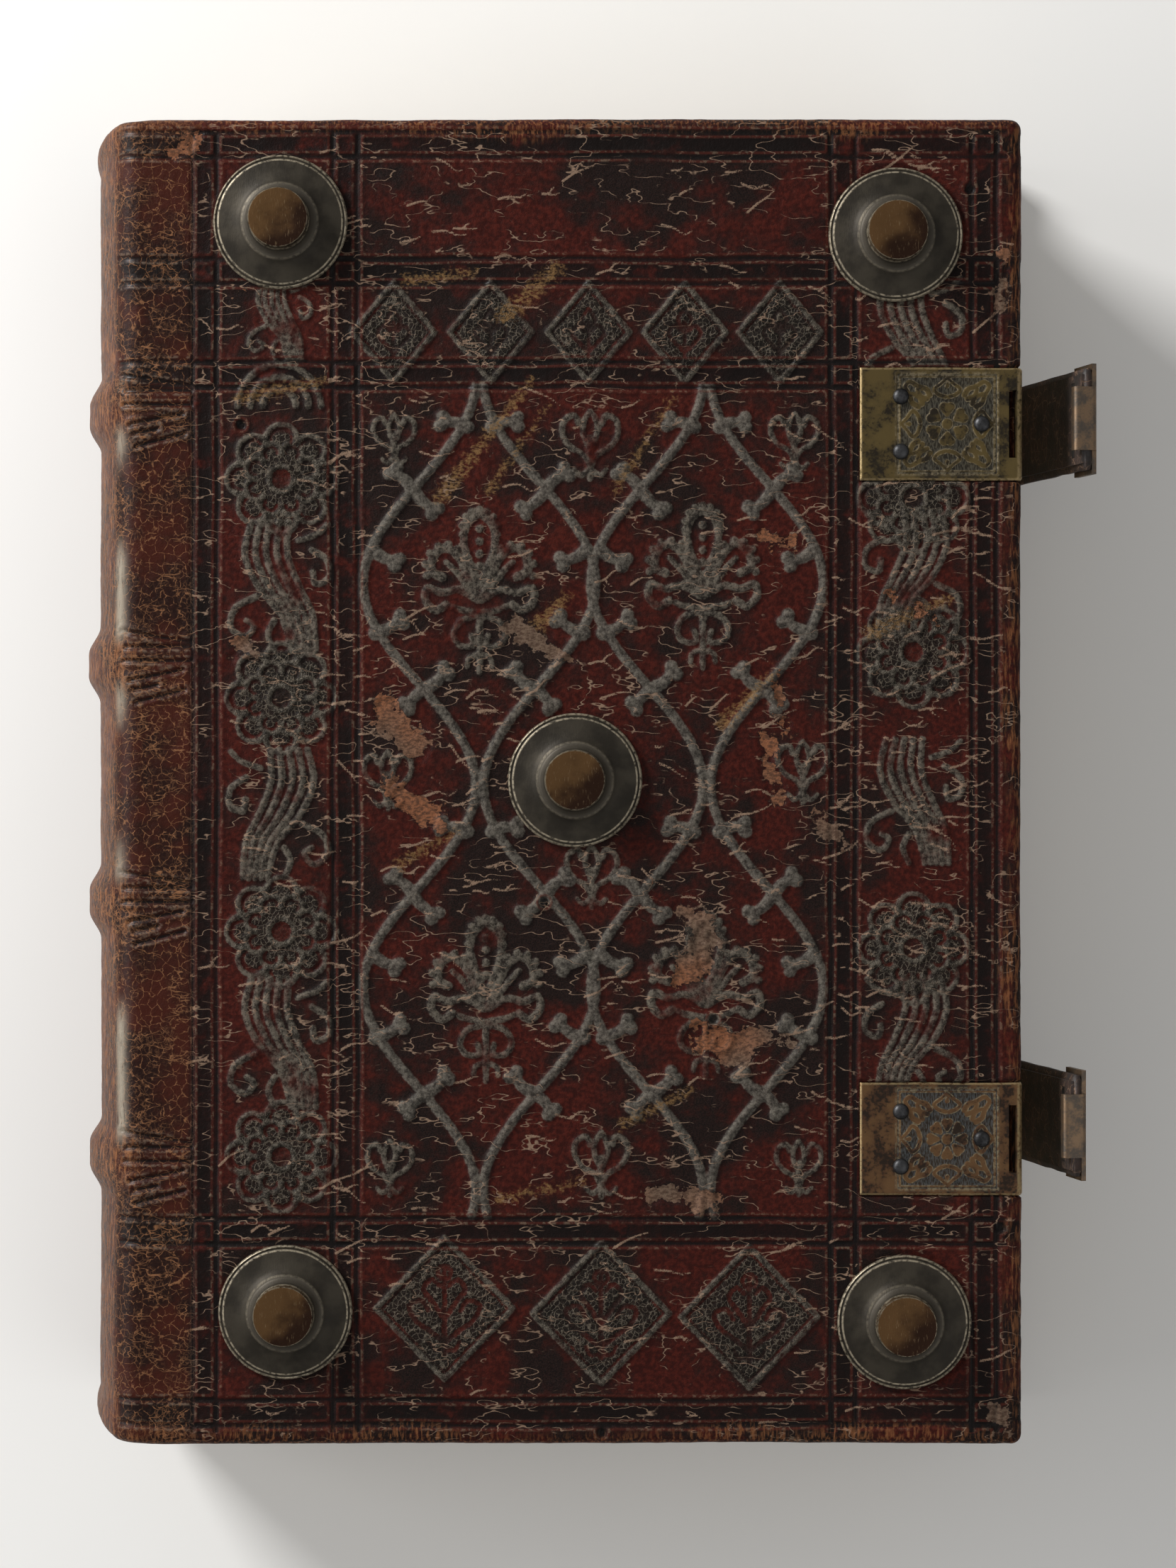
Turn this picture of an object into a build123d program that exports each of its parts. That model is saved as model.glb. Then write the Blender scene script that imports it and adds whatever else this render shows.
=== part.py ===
from build123d import *
import os
from math import atan2, cos, radians, sin, tan

# Antique folio in blind-tooled leather over wooden boards, lying on its back cover.
# X runs from the spine to the fore-edge, Y from tail to head, Z up through the book.
# The origin is the middle of the back cover's outer face, and all sizes are in millimetres.

# Covers
cover_height = 318.0  # head to tail
cover_width = 211.0  # joint to fore-edge
book_thickness = 68.0  # over both covers
leather = 1.2  # covering leather
board = 8.0  # wooden boards
lining = 0.5  # pastedowns and turned-in leather
turn_in = 15.0  # width of the leather turned in over the board edges
corner_round = 4.0  # fore-edge corners, seen from above
edge_round = 2.5  # outer edges of the covers
board_bevel = 1.3  # outer edges of the wooden boards
joint_gap = 0.3  # room across each joint
page_gap = 0.2  # between pages and pastedowns
glue_line = 0.05  # room between glued faces

# Text block and back
square = 4.3  # how far the covers reach past the pages
fore_edge_hollow = 5.0  # depth of the hollow fore-edge
spine_bulge = 13.5  # how far the rounded back reaches past the joints
shoulder_round = 6.5  # radius of the back's two shoulders
headcap = 4.5  # width of the leather folded over each end of the back
headcap_flare = 1.0  # how far the folded ends stand out
headcap_length = 7.0  # length of the flare along the back
endband = 2.8  # thickness of the sewn endbands

# Sewing supports
band_1_y = 90.0  # places of the four supports, from the middle towards the head
band_2_y = 28.6
band_3_y = -29.3
band_4_y = -91.5
band_lift = 3.0  # height of a raised band above the back
band_width = 9.0  # width of a sewing support on the back
band_slope = 4.0  # leather sloping down beside a band
band_end = 1.2  # where a band stops short of the shoulders
slip_width = 8.0  # width of a support's end laced into a board
slip_length = 30.0
slip_depth = 3.0
peg_width = 7.0  # across the corners of a whittled peg
peg_sides = 6

# Bosses
boss_diameter = 32.0
boss_height = 9.0
boss_rim = 1.2  # height of the rim
boss_neck_foot = 3.0  # height where the disc meets the neck
boss_neck = 18.0  # diameter of the neck at its foot
boss_cap = 14.0  # diameter of the flat cap
boss_shank = 4.2  # square shank through the board
shank_room = 0.1  # room round shanks, nails and rivets
corner_bosses = (  # inset from the nearer side, inset from the nearer end, side, end
    (33.3, 25.0, -1, 1),
    (30.3, 28.0, 1, 1),
    (34.5, 31.9, -1, -1),
    (28.2, 29.5, 1, -1),
)
centre_boss = (-1.6, 0.3)

# Catch plates
catch_inset = 73.3  # from the head and the tail to the middles of the plates
plate_length = 39.0
plate_width = 27.0
plate_thickness = 1.4
plate_flange = 6.0  # height of the edge bent down over the fore-edge
plate_bend = 1.8  # outer radius of that bend
plate_room = 0.15  # room round a plate in the leather
slot_length = 16.0
slot_width = 1.8
slot_inset = 1.6  # metal between slot and fore-edge
pocket_depth = 4.0  # hollow in the board under a slot
rivet_head = 3.8  # across the corners
rivet_sides = 6
rivet_taper = 30.0  # slope of the heads in degrees
rivet_rise = 1.1
rivet_shank = 1.6  # square
rivet_length = 6.0
rivet_inset = 9.8  # from the plate's inner end to the pair of rivets
rivet_reach = 29.2  # from the plate's inner end to the single rivet
rivet_spread = 13.2  # between the pair of rivets

# Clasp straps
upper_shift = 1.3  # from a plate's middle to its strap's, towards the head
lower_shift = 3.2
upper_lean = 13.2  # outward lean of the straps in degrees
lower_lean = 10.8
strap_width = 25.0
strap_thickness = 2.0
strap_length = 63.5  # from the fold to the end
strap_fold_height = 6.0  # height of the fold above the outer face
strap_clear = 0.4  # between strap and fore-edge
fold_room = 0.35  # between the two sides of the fold
root_length = 18.0  # tongue let in under the back board
root_lift = 0.1  # tongue above the outer face
strap_lining_thickness = 0.6
strap_lining_inset = 1.8  # from the strap's sides
strap_lining_start = 14.0  # from the fold
hook_width = 26.5
hook_length = 12.0
hook_thickness = 1.1
hook_tab_width = 15.2
hook_overhang = 2.2  # how far the tab reaches past the strap's inner side
hook_lip = 2.2  # length of the tab's turned end
hook_bend = 1.3
hook_rivet = 1.8  # square
hook_rivet_head = 3.4
hook_rivet_rise = 0.6
hook_rivet_spread = 16.0
nail_head = 3.6  # square, as forged
nail_head_thickness = 0.7
nail_shank = 1.5
nail_length = 6.0
nail_spread = 8.0
nail_inset = 5.0  # from the tongue's inner end

# Blind tooling of the front cover
relief = 0.4  # height of the raised ornament
tool_depth = 0.35  # depth of the fillet lines
tool_width = 0.9
fillet_gap = 6.0  # between the two lines of a double fillet
spine_margin = 12.0  # from the joint to the first line
fore_margin = 6.0
head_margin = 3.2
tail_margin = 4.8
side_border = 27.8  # width of the rosette borders
head_panel_height = 24.4  # bare panel
head_row_height = 18.8  # row of small lozenges
tail_row_height = 37.4  # row of large lozenges
stem_width = 2.8  # branches of the ogee lattice
stem_turn = 0.17  # share of a branch's height taken by each of its two turns
turn_share = 0.95  # how much of the room for a turn its arc fills
lattice_inset = 2.6  # from the inner panel's fillets to the lattice
rosette_diameter = 20.0
rosette_petals = 6
petal_width = 6.0
rosette_pitch = 54.6
rosette_start = 73.0  # place of the first rosette along Y
small_lozenge_width = 19.0
small_lozenge_height = 17.0
small_lozenge_pitch = 23.2
large_lozenge_width = 32.0
large_lozenge_height = 33.0
large_lozenge_pitch = 36.4
lozenge_frame = 1.6
palmette_height = 38.0
palmette_leaf = 10.0  # width of the middle leaf
side_leaf_height = 26.0
side_leaf_width = 7.0
side_leaf_reach = 9.0  # from the palmette's middle

# Places worked out from the sizes
joint_x = -cover_width / 2
fore_x = cover_width / 2
cover_start = joint_x + joint_gap / 2  # where the covers begin beside the joints
head_y = cover_height / 2
mid_z = book_thickness / 2
board_top = leather + glue_line  # depth of a board's outer face under the cover's
cover_depth = leather + board + lining + 2 * glue_line
pages_low = cover_depth + page_gap
pages_high = book_thickness - pages_low
page_half = head_y - square
front_face = Plane((0, 0, book_thickness), x_dir=(1, 0, 0), z_dir=(0, 0, 1))
back_face = Plane((0, 0, 0), x_dir=(1, 0, 0), z_dir=(0, 0, -1))

# Rounded back inside its leather, and the supports along it
spine_x = joint_x - joint_gap / 2
inner_bulge = spine_bulge - joint_gap / 2 - leather
inner_half = mid_z - leather
band_places = (band_1_y, band_2_y, band_3_y, band_4_y)

boss_places = [centre_boss]
for side_inset, end_inset, side, end in corner_bosses:
    boss_places.append((side * (fore_x - side_inset), end * (head_y - end_inset)))

catch_places = (("upper", head_y - catch_inset), ("lower", catch_inset - head_y))
plate_end = fore_x + plate_thickness - leather  # outer face of the bent edge
plate_start = plate_end - plate_length
rivet_places = []
for plate_name, plate_y in catch_places:
    rivet_places.append((plate_start + rivet_inset, plate_y + rivet_spread / 2))
    rivet_places.append((plate_start + rivet_inset, plate_y - rivet_spread / 2))
    rivet_places.append((plate_start + rivet_reach, plate_y))

straps = (  # name, place along Y, outward lean
    ("upper", head_y - catch_inset + upper_shift, upper_lean),
    ("lower", catch_inset - head_y + lower_shift, lower_lean),
)
strap_x = fore_x + strap_clear + strap_thickness / 2  # fold axis
root_start = fore_x - root_length
nail_places = []
for strap_name, strap_y, strap_lean in straps:
    for step in (-1, 0, 1):
        nail_places.append((root_start + nail_inset, strap_y + step * nail_spread))

os.makedirs("parts", exist_ok=True)


def keep(piece, name):
    """Label a finished piece and write it."""
    piece.part.label = name
    export_step(piece.part, f"parts/{name}.step")


def on_face(face, y):
    """A place along Y in a cover face's own coordinates."""
    return y * face.y_dir.Y


def slab(face, inset, depth, height):
    """Slab of a cover with rounded corners at the fore-edge, at a depth under the cover's outer face."""
    width = fore_x - inset - cover_start
    with BuildPart() as block:
        with BuildSketch(face.offset(-depth)):
            with Locations((cover_start + width / 2, 0)):
                Rectangle(width, cover_height - 2 * inset)
            fillet(vertices().group_by(Axis.X)[-1], corner_round - inset)
        extrude(amount=-height)
    return block.part


def rim(block, face):
    """Edges of a slab's outer face, apart from the one at the spine."""
    outward = Axis(face.origin, face.z_dir)
    return block.faces().sort_by(outward)[-1].edges().sort_by(Axis.X)[1:]


def board_blank(face, room):
    """Wooden board with bevelled outer edges, grown all round by some room."""
    with BuildPart() as blank:
        add(slab(face, board_top - room, board_top - room, board + 2 * room))
        chamfer(rim(blank, face), board_bevel)
    return blank.part


def wooden_board(face):
    """Board with channels for the sewing supports and holes for their pegs."""
    with BuildPart() as panel:
        add(board_blank(face, 0))
        with BuildSketch(face.offset(-board_top)):
            for place in band_places:
                with Locations((cover_start, on_face(face, place))):
                    Rectangle(slip_length, slip_width + 2 * glue_line, align=(Align.MIN, Align.CENTER))
        extrude(amount=-slip_depth - glue_line, mode=Mode.SUBTRACT)
        with BuildSketch(face.offset(-board_top)):
            for place in band_places:
                with Locations((cover_start + slip_length, on_face(face, place))):
                    RegularPolygon(peg_width / 2 + glue_line, peg_sides)
        extrude(amount=-board, mode=Mode.SUBTRACT)
    return panel.part


def covering(face):
    """Leather round a board: outer face, three edges and the turned-in frame on the inner face."""
    with BuildPart() as skin:
        add(slab(face, 0, 0, cover_depth))
        fillet(rim(skin, face), edge_round)
        add(board_blank(face, glue_line), mode=Mode.SUBTRACT)
        with BuildSketch(face.offset(-(leather + board))):
            with Locations((cover_start, 0)):
                width = cover_width - joint_gap / 2 - turn_in
                Rectangle(width, cover_height - 2 * turn_in, align=(Align.MIN, Align.CENTER))
        extrude(amount=-(lining + 2 * glue_line), mode=Mode.SUBTRACT)
    return skin.part


def paste_sheet(face):
    """Sheet pasted on the board inside the turned-in leather."""
    width = cover_width - joint_gap / 2 - turn_in - glue_line
    with BuildPart() as sheet:
        with BuildSketch(face.offset(-(cover_depth - lining))):
            with Locations((cover_start, 0)):
                height = cover_height - 2 * turn_in - 2 * glue_line
                Rectangle(width, height, align=(Align.MIN, Align.CENTER))
        extrude(amount=-lining)
    return sheet


def slip(face, place):
    """End of a sewing support in its channel, hollowed at its end for the peg."""
    with BuildPart() as lace:
        with BuildSketch(face.offset(-board_top)):
            with Locations((cover_start, on_face(face, place))):
                Rectangle(slip_length, slip_width, align=(Align.MIN, Align.CENTER))
            with Locations((cover_start + slip_length, on_face(face, place))):
                RegularPolygon(peg_width / 2 + glue_line, peg_sides, mode=Mode.SUBTRACT)
        extrude(amount=-slip_depth)
    return lace


def pegs(face):
    """Wooden pegs through a board, one beside each slip."""
    with BuildPart() as group:
        with BuildSketch(face.offset(-board_top)):
            for place in band_places:
                with Locations((cover_start + slip_length, on_face(face, place))):
                    RegularPolygon(peg_width / 2, peg_sides)
        extrude(amount=-board)
    return group


def half_oval(grow, lift=0.0, mode=Mode.ADD):
    """Section of the back in three tangent arcs: inside of its leather, grown all round, then lifted."""
    bulge = inner_bulge + grow + lift
    half = inner_half + grow
    shoulder = shoulder_round + grow + lift / 2
    back_radius = (bulge**2 + half**2 - 2 * half * shoulder) / (2 * (bulge - shoulder))
    share = back_radius / (back_radius - shoulder)
    meet_x = spine_x - (bulge - back_radius) * (1 - share)
    meet_z = (half - shoulder) * share
    with BuildLine() as outline:
        upper = TangentArc((spine_x, mid_z + half), (meet_x, mid_z + meet_z), tangent=(-1, 0))
        back = TangentArc(upper @ 1, (meet_x, mid_z - meet_z), tangent=upper % 1)
        TangentArc(back @ 1, (spine_x, mid_z - half), tangent=back % 1)
        Line((spine_x, mid_z - half), (spine_x, mid_z + half))
    make_face(outline.edges(), mode=mode)


# Back cover
with BuildPart() as back_board:
    add(wooden_board(back_face))
    for strap_name, strap_y, strap_lean in straps:
        with BuildSketch():
            with Locations((root_start - glue_line, strap_y)):
                run = root_length + strap_width
                Rectangle(run, strap_width + 2 * glue_line, align=(Align.MIN, Align.CENTER))
        extrude(amount=root_lift + strap_thickness + glue_line, mode=Mode.SUBTRACT)
    with Locations(*[(x, y, 0) for x, y in nail_places]):
        nail_hole = nail_shank + 2 * shank_room
        nail_reach = root_lift + nail_length + shank_room
        on_end = (Align.CENTER, Align.CENTER, Align.MIN)
        Box(nail_hole, nail_hole, nail_reach, align=on_end, mode=Mode.SUBTRACT)
keep(back_board, "back_board")

with BuildPart() as back_leather:
    add(covering(back_face))
    for strap_name, strap_y, strap_lean in straps:
        with BuildSketch():
            with Locations((root_start - glue_line, strap_y)):
                run = root_length + strap_width
                Rectangle(run, strap_width + 2 * glue_line, align=(Align.MIN, Align.CENTER))
        extrude(amount=root_lift + strap_thickness + strap_clear, mode=Mode.SUBTRACT)
keep(back_leather, "back_leather")

back_pastedown = paste_sheet(back_face)
keep(back_pastedown, "back_pastedown")

for number, place in enumerate(band_places, 1):
    back_slip = slip(back_face, place)
    keep(back_slip, f"back_slip_{number}")

back_pegs = pegs(back_face)
keep(back_pegs, "back_pegs")

# Text block, its sewing supports, endbands and the leather over the back
with BuildPart() as text_block:
    page_edge = fore_x - square
    with BuildSketch(Plane.XZ):
        half_oval(-glue_line)
        with BuildLine():
            Line((spine_x, pages_high), (spine_x, pages_low))
            Line((spine_x, pages_low), (page_edge, pages_low))
            ThreePointArc(
                (page_edge, pages_low), (page_edge - fore_edge_hollow, mid_z), (page_edge, pages_high)
            )
            Line((page_edge, pages_high), (spine_x, pages_high))
        make_face()
    extrude(amount=page_half, both=True)
keep(text_block, "text_block")

band_half = inner_half - band_end  # a band's reach from the middle of the back
with BuildPart() as sewing_bands:
    for place in band_places:
        with BuildSketch(Plane.XZ.offset(-place)):
            half_oval(-glue_line, band_lift)
            half_oval(0, mode=Mode.SUBTRACT)
            with Locations((spine_x, mid_z)):
                Rectangle(cover_width, 2 * band_half, mode=Mode.INTERSECT)
        extrude(amount=band_width / 2, both=True)
keep(sewing_bands, "sewing_bands")

with BuildPart() as endbands:
    for end in (1, -1):
        with BuildSketch(Plane.XZ.offset(-end * (page_half + glue_line + endband / 2))):
            half_oval(-glue_line)
            half_oval(-glue_line - endband, mode=Mode.SUBTRACT)
        extrude(amount=endband / 2, both=True)
keep(endbands, "endbands")

with BuildPart() as spine_leather:
    flank = band_width / 2 + leather
    stations = [(head_y, headcap_flare), (head_y - headcap_length, 0)]
    for place in band_places:
        stations += [
            (place + flank + band_slope, 0),
            (place + flank, band_lift),
            (place - flank, band_lift),
            (place - flank - band_slope, 0),
        ]
    stations += [(headcap_length - head_y, 0), (-head_y, headcap_flare)]
    for y, lift in stations:
        with BuildSketch(Plane.XZ.offset(-y)):
            half_oval(leather, lift)
    loft(ruled=True)
    with BuildSketch(Plane.XZ):
        half_oval(0)
    extrude(amount=head_y - leather, both=True, mode=Mode.SUBTRACT)
    for place in band_places:
        with BuildSketch(Plane.XZ.offset(-place)):
            half_oval(0, band_lift)
            with Locations((spine_x, mid_z)):
                Rectangle(cover_width, 2 * band_half + 2 * glue_line, mode=Mode.INTERSECT)
        extrude(amount=band_width / 2 + glue_line, both=True, mode=Mode.SUBTRACT)
    with BuildSketch(Plane.XZ):
        half_oval(-headcap)
    extrude(amount=cover_height, both=True, mode=Mode.SUBTRACT)
keep(spine_leather, "spine_leather")

# Front cover
with BuildPart() as front_board:
    add(wooden_board(front_face))
    board_face = book_thickness - board_top
    with BuildSketch(Plane.XY.offset(board_face)):
        for plate_name, plate_y in catch_places:
            with Locations((plate_end - slot_inset - slot_width, plate_y)):
                Rectangle(plate_flange, slot_length, align=(Align.MIN, Align.CENTER))
    extrude(amount=-pocket_depth, mode=Mode.SUBTRACT)
    with BuildSketch(Plane.XY.offset(board_face)):
        with Locations(*rivet_places):
            Rectangle(rivet_shank + 2 * shank_room, rivet_shank + 2 * shank_room)
    extrude(amount=-rivet_length, mode=Mode.SUBTRACT)
    with BuildSketch(Plane.XY.offset(board_face)):
        with Locations(*boss_places):
            Rectangle(boss_shank + 2 * shank_room, boss_shank + 2 * shank_room)
    extrude(amount=-board, mode=Mode.SUBTRACT)
keep(front_board, "front_board")


def branch(x_joint, y_joint, x_side, y_side):
    """One branch of the lattice: upright at a joint, slanting between, upright again at a tangency."""
    turn = stem_turn * (y_side - y_joint)
    slant = atan2(abs(x_side - x_joint), abs(y_side - y_joint - 2 * turn))
    bend = turn_share * abs(turn) / tan(slant / 2)
    with BuildLine() as ogee:
        FilletPolyline(
            (x_joint, y_joint), (x_joint, y_joint + turn), (x_side, y_side - turn), (x_side, y_side), radius=bend
        )
    trace(ogee.line, line_width=stem_width)


def leaf(width, height):
    """Pointed leaf, upright in a sketch, widest above its middle."""
    crown = height / 4
    Polygon(
        (0, height / 2),
        (-width / 2, crown),
        (-width / 3, -crown),
        (0, -height / 2),
        (width / 3, -crown),
        (width / 2, crown),
        align=None,
    )


def lozenge(width, height):
    """Lozenge drawn as a raised frame round a lozenge field."""
    for grow, mode in ((0, Mode.ADD), (-2 * lozenge_frame, Mode.SUBTRACT), (-4 * lozenge_frame, Mode.ADD)):
        half_x = width / 2 + grow
        half_y = height / 2 + grow * height / width
        Polygon((half_x, 0), (0, half_y), (-half_x, 0), (0, -half_y), align=None, mode=mode)


# Lines of the double fillets, from the joint, the fore-edge, the head and the tail inwards
spine_lines = [joint_x + spine_margin]
fore_lines = [fore_x - fore_margin]
for gap in (fillet_gap, side_border, fillet_gap):
    spine_lines.append(spine_lines[-1] + gap)
    fore_lines.append(fore_lines[-1] - gap)
head_lines = [head_y - head_margin]
for gap in (fillet_gap, head_panel_height, fillet_gap, head_row_height, fillet_gap):
    head_lines.append(head_lines[-1] - gap)
tail_lines = [tail_margin - head_y]
for gap in (fillet_gap, tail_row_height, fillet_gap):
    tail_lines.append(tail_lines[-1] + gap)
panel_left = spine_lines[-1] + lattice_inset
panel_right = fore_lines[-1] - lattice_inset
panel_top = head_lines[-1] - lattice_inset
panel_low = tail_lines[-1] + lattice_inset
panel_x = (panel_left + panel_right) / 2
lobe_width = (panel_right - panel_left) / 2
lobe_height = (panel_top - panel_low) / 2
lobe_places = []
for lobe_x in (panel_left + lobe_width / 2, panel_right - lobe_width / 2):
    for lobe_y in (panel_top - lobe_height / 2, panel_low + lobe_height / 2):
        lobe_places.append((lobe_x, lobe_y))

fillet_width = fillet_gap + tool_width  # leather pressed down by both lines and between them


def fillet_middles(lines):
    """Middles of the double fillets along one side."""
    return [(first + second) / 2 for first, second in zip(lines[::2], lines[1::2])]


with BuildPart() as front_leather:
    add(covering(front_face))
    with BuildSketch(front_face):
        upright_height = head_lines[0] - tail_lines[0]
        upright_middle = (head_lines[0] + tail_lines[0]) / 2
        for x in fillet_middles(spine_lines) + fillet_middles(fore_lines):
            with Locations((x, upright_middle)):
                Rectangle(fillet_width, upright_height + tool_width)
        level_width = fore_lines[0] - spine_lines[0]
        level_middle = (fore_lines[0] + spine_lines[0]) / 2
        for y in fillet_middles(head_lines) + fillet_middles(tail_lines):
            with Locations((level_middle, y)):
                Rectangle(level_width + tool_width, fillet_width)
    extrude(amount=-tool_depth, mode=Mode.SUBTRACT)
    with BuildSketch(front_face):
        reach = lobe_width / 2 - stem_width / 3
        for lobe_x, lobe_y in lobe_places:
            for x_step in (-1, 1):
                for y_step in (-1, 1):
                    branch(lobe_x, lobe_y + y_step * lobe_height / 2, lobe_x + x_step * reach, lobe_y)
    extrude(amount=relief)
    with BuildSketch(front_face):
        with Locations(*lobe_places):
            leaf(palmette_leaf, palmette_height)
        with Locations(*[(x + step * side_leaf_reach, y) for x, y in lobe_places for step in (-1, 1)]):
            leaf(side_leaf_width, side_leaf_height)
    extrude(amount=relief)
    with BuildSketch(front_face):
        head_row_y = (head_lines[3] + head_lines[4]) / 2
        with Locations((panel_x, head_row_y)):
            with GridLocations(small_lozenge_pitch, head_row_height, 5, 1):
                lozenge(small_lozenge_width, small_lozenge_height)
    extrude(amount=relief)
    with BuildSketch(front_face):
        tail_row_y = (tail_lines[1] + tail_lines[2]) / 2
        with Locations((panel_x, tail_row_y)):
            with GridLocations(large_lozenge_pitch, tail_row_height, 3, 1):
                lozenge(large_lozenge_width, large_lozenge_height)
    extrude(amount=relief)
    with BuildSketch(front_face):
        left_border = (spine_lines[1] + spine_lines[2]) / 2
        right_border = (fore_lines[1] + fore_lines[2]) / 2
        rosette_places = [(left_border, rosette_start - step * rosette_pitch) for step in range(4)]
        rosette_places += [(right_border, rosette_start - step * rosette_pitch) for step in (1, 2)]
        petal_half = rosette_diameter / 4
        with Locations(*rosette_places):
            with PolarLocations(petal_half, rosette_petals):
                side_half = petal_width / 2
                Polygon((petal_half, 0), (0, side_half), (-petal_half, 0), (0, -side_half), align=None)
    extrude(amount=relief)
    with BuildSketch(front_face):
        for plate_name, plate_y in catch_places:
            with Locations((plate_start - plate_room, plate_y)):
                window = plate_width + 2 * plate_room
                Rectangle(plate_length + leather, window, align=(Align.MIN, Align.CENTER))
    extrude(amount=plate_flange + leather, both=True, mode=Mode.SUBTRACT)
    with BuildSketch(front_face):
        with Locations(*boss_places):
            Circle(boss_diameter / 2 + shank_room)
    extrude(amount=relief, mode=Mode.SUBTRACT)
    with BuildSketch(front_face):
        with Locations(*boss_places):
            Rectangle(boss_shank + 2 * shank_room, boss_shank + 2 * shank_room)
    extrude(amount=-board_top, mode=Mode.SUBTRACT)
keep(front_leather, "front_leather")

front_pastedown = paste_sheet(front_face)
keep(front_pastedown, "front_pastedown")

for number, place in enumerate(band_places, 1):
    front_slip = slip(front_face, place)
    keep(front_slip, f"front_slip_{number}")

front_pegs = pegs(front_face)
keep(front_pegs, "front_pegs")

with BuildPart() as bosses:
    for x, y in boss_places:
        with BuildSketch(Plane((x, y, book_thickness), x_dir=(1, 0, 0), z_dir=(0, -1, 0))):
            with BuildLine():
                Polyline(
                    (0, 0),
                    (boss_diameter / 2, 0),
                    (boss_diameter / 2, boss_rim),
                    (boss_neck / 2, boss_neck_foot),
                    (boss_cap / 2, boss_height),
                    (0, boss_height),
                    close=True,
                )
            make_face()
        revolve(axis=Axis((x, y, 0), (0, 0, 1)))
    with BuildSketch(front_face):
        with Locations(*boss_places):
            Rectangle(boss_shank, boss_shank)
    extrude(amount=-board_top - board)
keep(bosses, "bosses")

for plate_name, plate_y in catch_places:
    with BuildPart() as catch_plate:
        with BuildSketch(Plane.XZ.offset(-plate_y)):
            top = book_thickness - board_top + plate_thickness
            with BuildLine():
                Polyline(
                    (plate_start, top - plate_thickness),
                    (plate_start, top),
                    (plate_end, top),
                    (plate_end, top - plate_flange),
                    (plate_end - plate_thickness, top - plate_flange),
                    (plate_end - plate_thickness, top - plate_thickness),
                    close=True,
                )
            make_face()
            fillet(vertices().sort_by(Axis.X).sort_by(Axis.Y)[-1], plate_bend)
        extrude(amount=plate_width / 2, both=True)
        with BuildSketch(Plane.XY.offset(top)):
            with Locations((plate_end - slot_inset - slot_width, plate_y)):
                Rectangle(slot_width, slot_length, align=(Align.MIN, Align.CENTER))
        extrude(amount=-plate_thickness, mode=Mode.SUBTRACT)
        with BuildSketch(Plane.XY.offset(top)):
            with Locations(*rivet_places):
                Rectangle(rivet_shank + 2 * shank_room, rivet_shank + 2 * shank_room)
        extrude(amount=-plate_thickness, mode=Mode.SUBTRACT)
    keep(catch_plate, f"{plate_name}_catch_plate")

with BuildPart() as catch_rivets:
    plate_top = book_thickness - board_top + plate_thickness
    with BuildSketch(Plane.XY.offset(plate_top)):
        with Locations(*rivet_places):
            RegularPolygon(rivet_head / 2, rivet_sides)
    extrude(amount=rivet_rise, taper=rivet_taper)
    with BuildSketch(Plane.XY.offset(plate_top)):
        with Locations(*rivet_places):
            Rectangle(rivet_shank, rivet_shank)
    extrude(amount=-rivet_length)
keep(catch_rivets, "catch_rivets")

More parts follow.
